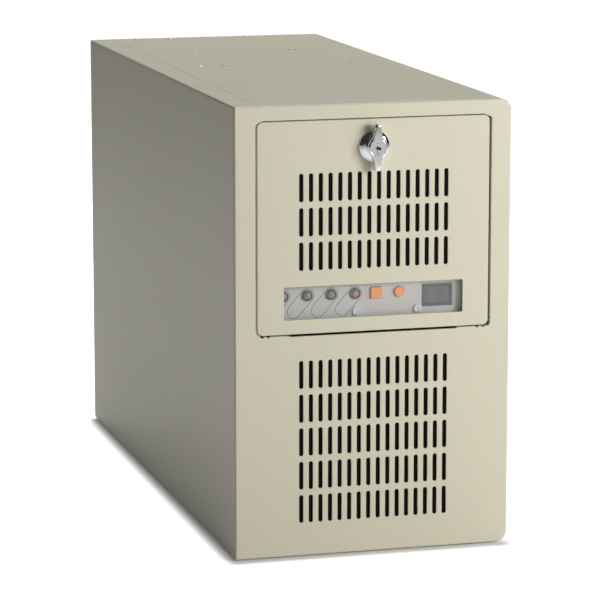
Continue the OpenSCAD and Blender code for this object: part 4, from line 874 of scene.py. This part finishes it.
def make_knob():
    front = KNOB_LOW[1]
    blade_back = front + 6.4

    def keyhole(angle, wide=0.9, tall=3.3, middle=1.9):
        slot = 1.0 / np.maximum(np.abs(np.sin(angle)) / wide, np.abs(np.cos(angle)) / tall)
        return np.maximum(slot, middle)

    rows = [(polar_outline(lambda a: 0.02 + 0 * a), front + 5.0), (polar_outline(keyhole), front + 5.0),
            (polar_outline(keyhole), front + 0.25),
            (polar_outline(lambda a: keyhole(a) + 0.2), front + 0.05),
            (polar_outline(lambda a: 5.7 + 0 * a), front),
            (polar_outline(lambda a: 5.8 + 0 * a), front + 0.25),
            (polar_outline(lambda a: 6.0 + 0 * a), front + 0.25),
            (polar_outline(lambda a: 6.1 + 0 * a), front + 0.02)]
    body = [(knob_outline(-1.1), front + 0.08), (knob_outline(-0.6), front + 0.35),
            (knob_outline(-0.2), front + 0.9),
            (knob_outline(0.0), front + 1.6), (knob_outline(0.0), blade_back - 1.4),
            (knob_outline(-0.5), blade_back - 0.5), (knob_outline(-1.5), blade_back)]
    neck = [(polar_outline(lambda a: 5.9 + 0 * a), blade_back),
            (polar_outline(lambda a: 5.9 + 0 * a), KNOB_HIGH[1] - 4.6),
            (polar_outline(lambda a: 0.02 + 0 * a), KNOB_HIGH[1] - 4.6)]
    stack = np.stack([np.stack([line[:, 0], np.full(len(line), y), line[:, 1]], -1)
                      for line, y in rows + body + neck])
    tang = turned([(0.01, KNOB_HIGH[1] - 4.7), (2.9, KNOB_HIGH[1] - 4.7), (2.9, KNOB_HIGH[1]),
                   (0.01, KNOB_HIGH[1])],
                  (0.0, 0.0, LOCK_Z), 1, 4)
    build("lock_wing", [grid(stack), tang], "lock", "lock_chrome", ["lock_knob"], 30.0)


def make_flange():
    """The barrel with its dished flange, turned about the lock's axis, and its hexagon nut."""
    front = BARREL_LOW[1]
    radius = (BARREL_HIGH[2] - BARREL_LOW[2]) / 2
    inner = 6.08
    barrel = 8.5
    profile = [(inner, BARREL_HIGH[1]), (inner, front + 0.3), (inner + 0.3, front), (radius - 4.2, front),
               (radius - 3.4, front + 0.1), (radius - 1.5, front + 0.75), (radius - 0.5, front + 1.5),
               (radius, front + 2.3), (radius, front + 2.8), (radius - 0.2, front + 3.0),
               (barrel, front + 3.0),
               (barrel, BARREL_HIGH[1] - 0.4), (barrel - 0.4, BARREL_HIGH[1]), (inner, BARREL_HIGH[1])]
    nut = [(barrel, front + 3.0 + SHEET), (12.0, front + 3.0 + SHEET), (12.5, front + 3.4 + SHEET),
           (12.5, front + 6.6 + SHEET), (12.0, front + 7.0 + SHEET), (barrel, front + 7.0 + SHEET)]
    build("lock_flange", [turned(profile, (0.0, 0.0, LOCK_Z), 1, 72), turned(nut, (0.0, 0.0, LOCK_Z), 1, 6)],
          "door", "lock_chrome", ["lock_barrel"], 30.0)


make_knob()
make_flange()

# ---- control panel -----------------------------------------------------------


def lamp_rows(x, front):
    """A lamp: a thin bezel ring and a domed lens inside it."""
    centre = (x, front, LAMP_Z)
    dome = [(LENS_R - 1.05, 0.5), (LENS_R - 1.1, 0.0), (2.5, -0.55), (2.0, -0.95), (1.2, -1.25), (0.5, -1.38),
            (0.005, -1.4)]
    ring = [(LENS_R - 1.1, 1.0), (LENS_R - 1.1, -0.25), (LENS_R - 0.7, -0.6), (LENS_R - 0.2, -0.5),
            (LENS_R, -0.1), (LENS_R, 1.0)]
    return turned(dome, centre, 1, 40), turned(ring, centre, 1, 40)


def stem(x, front, back):
    profile = [(0.005, front), (LENS_R, front), (LENS_R, back), (0.005, back)]
    return turned(profile, (x, 0.0, LAMP_Z), 1, 40)


def make_lamps():
    front = PLATE_Y - 0.8
    lamps = [lamp_rows(LAMP_X + i * LAMP_PITCH, front) for i in range(4)]
    stems = [stem(LAMP_X + i * LAMP_PITCH, front + 0.5, LENS_HIGH[1]) for i in range(4)]
    build("status_lamps", [part[0] for part in lamps[:3]] + stems[:3], "case", "grey_lens",
          ["status_lenses"], 50.0)
    build("alarm_lamp", [lamps[3][0], stems[3]], "case", "red_lens", ["alarm_lens"], 50.0)
    build("lamp_rings", [part[1] for part in lamps], "case", "black_plastic", (), 50.0)


def make_lozenges():
    """Raised outlines beside the lamps: a thin bead carried round a slanted slot shape."""
    lean = math.atan2(-10.8, -9.4)
    length, radius, bead = 14.3, 4.9, 0.20
    turn = np.linspace(-np.pi / 2, np.pi / 2, 16)
    far = np.stack([length + radius * np.cos(turn), radius * np.sin(turn)], -1)
    near = np.stack([-radius * np.cos(turn), -radius * np.sin(turn)], -1)
    path = np.concatenate([far, near])
    out = np.concatenate([np.stack([np.cos(turn), np.sin(turn)], -1),
                          np.stack([-np.cos(turn), -np.sin(turn)], -1)])
    section = np.array([(-bead, 0.02), (-bead * 0.6, -0.10), (0.0, -0.14), (bead * 0.6, -0.10), (bead, 0.02)])
    flat = path[None] + section[:, 0, None, None] * out[None]
    spin = np.array([[math.cos(lean), math.sin(lean)], [-math.sin(lean), math.cos(lean)]])
    flat = flat @ spin
    surfaces = []
    for i in range(4):
        points = np.zeros((len(section), len(path), 3))
        points[..., 0] = flat[..., 0] + LAMP_X + i * LAMP_PITCH
        points[..., 1] = PLATE_Y + section[:, 1, None]
        points[..., 2] = flat[..., 1] + LAMP_Z
        surfaces.append(grid(points))
    build("lamp_outlines", surfaces, "case", "rocker_plastic", (), 60.0)


make_lamps()
make_lozenges()

# ---- turning parts -----------------------------------------------------------


def make_thumbscrew():
    """Knurled head: the radius of each ring rises and falls 28 times round, under a flat washer."""
    x = (THUMB_LOW[0] + THUMB_HIGH[0]) / 2
    z = (THUMB_LOW[2] + THUMB_HIGH[2]) / 2
    sides = 168
    angle = np.linspace(0.0, 2 * np.pi, sides, endpoint=False)
    back = THUMB_HIGH[1]
    rows = [(0.005, back - 0.9, 0), (1.9, back - 0.9, 0), (2.1, back, 0), (4.2, back, 0),
            (4.75, back - 0.5, 0.5),
            (4.85, back - 0.9, 1), (4.85, back - 4.8, 1), (4.4, back - 5.3, 0.5), (4.2, back - 5.5, 0),
            (4.2, back - 6.6, 0), (2.0, back - 6.6, 0), (2.0, THUMB_LOW[1] + 0.6, 0), (1.5, THUMB_LOW[1], 0),
            (0.005, THUMB_LOW[1], 0)]
    radius = np.array([[r] for r, _, _ in rows]) + np.array([[k] for _, _,
                                                             k in rows]) * 0.14 * np.cos(28 * angle)
    points = np.stack([x + radius * np.cos(angle), np.repeat([[y] for _, y, _ in rows], sides, 1),
                       z + radius * np.sin(angle)], -1)
    build("cover_screw", [grid(points)], "thumbscrew", "zinc_steel", ["cover_thumbscrew"], 40.0)


make_thumbscrew()

FANS = {"front_fan_rotor": ("front_rotor", 1, 120.0), "cpu_fan_rotor": ("cpu_rotor", 0, 80.0),
        "supply_fan_rotor": ("supply_rotor", 1, 80.0)}


def make_rotor(node, body, axis, side):
    """Seven twisted blades on a rounded hub. A blade is a function of the way out, u, and the way
    across, v: it turns back by a sweep that grows with u, tilts by a pitch that falls with u, and is
    thick in the middle of v."""
    low, high = span(node)
    centre = (low + high) / 2
    hub, tip = side * 0.17, side / 2 - 4.2
    depth = high[axis] - low[axis]
    u, v = np.meshgrid(np.linspace(0.0, 1.0, 12), np.linspace(-1.0, 1.0, 9), indexing="ij")
    radius = hub - 0.8 + u * (tip - hub + 0.8)
    half_chord = 0.46 * depth * (1.0 - 0.10 * u)
    thick = 0.9 * np.sqrt(np.clip(1.0 - v ** 2, 0.0, 1.0)) + 0.12
    surfaces = []
    for blade in range(7):
        skins = []
        for face in (1.0, -1.0):
            lean = (0.62 - 0.10 * u) * v
            angle = 2 * np.pi * blade / 7 + lean * (0.9 + 0.25 * u) + 0.30 * u ** 2
            points = np.zeros(u.shape + (3,))
            keep = [i for i in range(3) if i != axis]
            points[..., keep[0]] = radius * np.cos(angle)
            points[..., keep[1]] = radius * np.sin(angle)
            points[..., axis] = half_chord * v + face * thick * 0.7 - 0.3
            skins.append(points)
        loop = np.concatenate([skins[0], skins[1][:, ::-1]], 1)
        surfaces.append(grid(loop + centre))
        surfaces.append(grid(np.stack([skins[0][-1], skins[1][-1]]) + centre, around=False))
        surfaces.append(grid(np.stack([skins[0][0], skins[1][0]]) + centre, around=False))
    edge = depth / 2
    profile = [(0.005, -edge), (hub - 1.6, -edge), (hub - 0.5, -edge + 0.4), (hub, -edge + 1.4),
               (hub, edge - 0.6),
               (hub - 0.6, edge), (0.005, edge)]
    surfaces.append(turned(profile, centre, axis, 64))
    build(node.replace("_rotor", "_blades"), surfaces, body, "black_plastic", [node], 45.0)


for node, (body, axis, side) in FANS.items():
    make_rotor(node, body, axis, side)

# ---- edges of the remaining nodes ---------------------------------------------

SOFT_EDGE = {
    "wrap_shell": 0.25, "rear_panel": 0.2, "rubber_feet": 0.3, "hinge_pins": 0.2, "control_plate": 0.25,
    "power_switch_body": 0.25, "power_rocker": 0.35, "alarm_button": 0.4, "reset_button": 0.4,
    "control_screws": 0.15, "wide_bay_blanks": 0.4, "narrow_bay_blank": 0.4, "hard_drive": 0.4,
    "front_fan_frame": 0.4, "cpu_fan_frame": 0.35, "supply_fan_frame": 0.35, "power_inlet": 0.3,
    "supply_switch": 0.3, "cpu_socket": 0.3, "board_connectors": 0.2, "top_rivets": 0.25,
    "power_supply_case": 0.2, "lock_cam": 0.2, "supply_hanger": 0.2, "drive_cage": 0.15, "filter_frame": 0.3,
    "frame_screws": 0.15, "fan_screws": 0.2, "board_screws": 0.15, "alarm_buzzer": 0.3, "memory_modules": 0.1,
    "door_window": 0.2, "slot_covers": 0.15, "slot_frame": 0.15, "io_ports": 0.1, "expansion_card": 0.1,
}


def soften(node, width):
    """Breaks a node's sharp edges with a narrow bevel, after its loose triangles are joined."""
    piece = frame["nodes"][node]
    weld = piece.modifiers.new("join", "WELD")
    weld.merge_threshold = WELD_GAP
    flat = piece.modifiers.new("flatten", "DECIMATE")
    flat.decimate_type = "DISSOLVE"
    flat.angle_limit = math.radians(0.5)
    bevel = piece.modifiers.new("edge", "BEVEL")
    bevel.width = width * MM
    bevel.segments = 2
    bevel.limit_method = "ANGLE"
    bevel.angle_limit = math.radians(40.0)
    steady_normals(piece)


for node, width in SOFT_EDGE.items():
    soften(node, width)

for node in ("power_loom", "data_cable", "panel_lead"):
    piece = frame["nodes"][node]
    piece.modifiers.new("join", "WELD").merge_threshold = WELD_GAP
    rounder = piece.modifiers.new("round", "SUBSURF")
    rounder.levels = rounder.render_levels = 2

# ---- floor -------------------------------------------------------------------


def make_floor():
    mesh = bpy.data.meshes.new("floor")
    size = FLOOR_HALF
    corners = [(-size, -size, 0), (size, -size, 0), (size, size, 0), (-size, size, 0)]
    mesh.from_pydata(corners, [], [(0, 1, 2, 3)])
    material, tree, shader = start("pale_floor")
    shade = noise(tree, object_point(tree), 3.0)
    base = blend_colour(tree, math_node(tree, "MULTIPLY", shade, 0.02), (0.93, 0.93, 0.93, 1.0),
                        (0.9, 0.9, 0.9, 1.0))
    axis = add(tree, "ShaderNodeSeparateXYZ", {"Vector": object_point(tree)}).outputs
    past = [math_node(tree, "MAXIMUM", math_node(tree, "SUBTRACT", math_node(tree, "ABSOLUTE", axis[i]),
                                                 edge), 0.0)
            for i, edge in ((0, HALF_W * MM), (1, (REAR_Y - FACE_Y) / 2 * MM))]
    away = math_node(tree, "SQRT", math_node(tree, "ADD", *[math_node(tree, "MULTIPLY", p, p) for p in past]))
    path = add(tree, "ShaderNodeLightPath").outputs
    seen = math_node(tree, "MAXIMUM", path["Is Camera Ray"],
                     math_node(tree, "MULTIPLY", path["Is Glossy Ray"], GLOSSY_GLOW))
    glow = math_node(tree, "MULTIPLY", ramp(tree, away, 0.0, GLOW_REACH, GLOW_FOOT, GLOW), seen)
    feed(tree, shader, Base_Color=base, Roughness=0.6, Emission_Color=WHITE,
         Emission_Strength=glow)
    mesh.materials.append(material)
    floor = bpy.data.objects.new("floor", mesh)
    bpy.context.scene.collection.objects.link(floor)


make_floor()
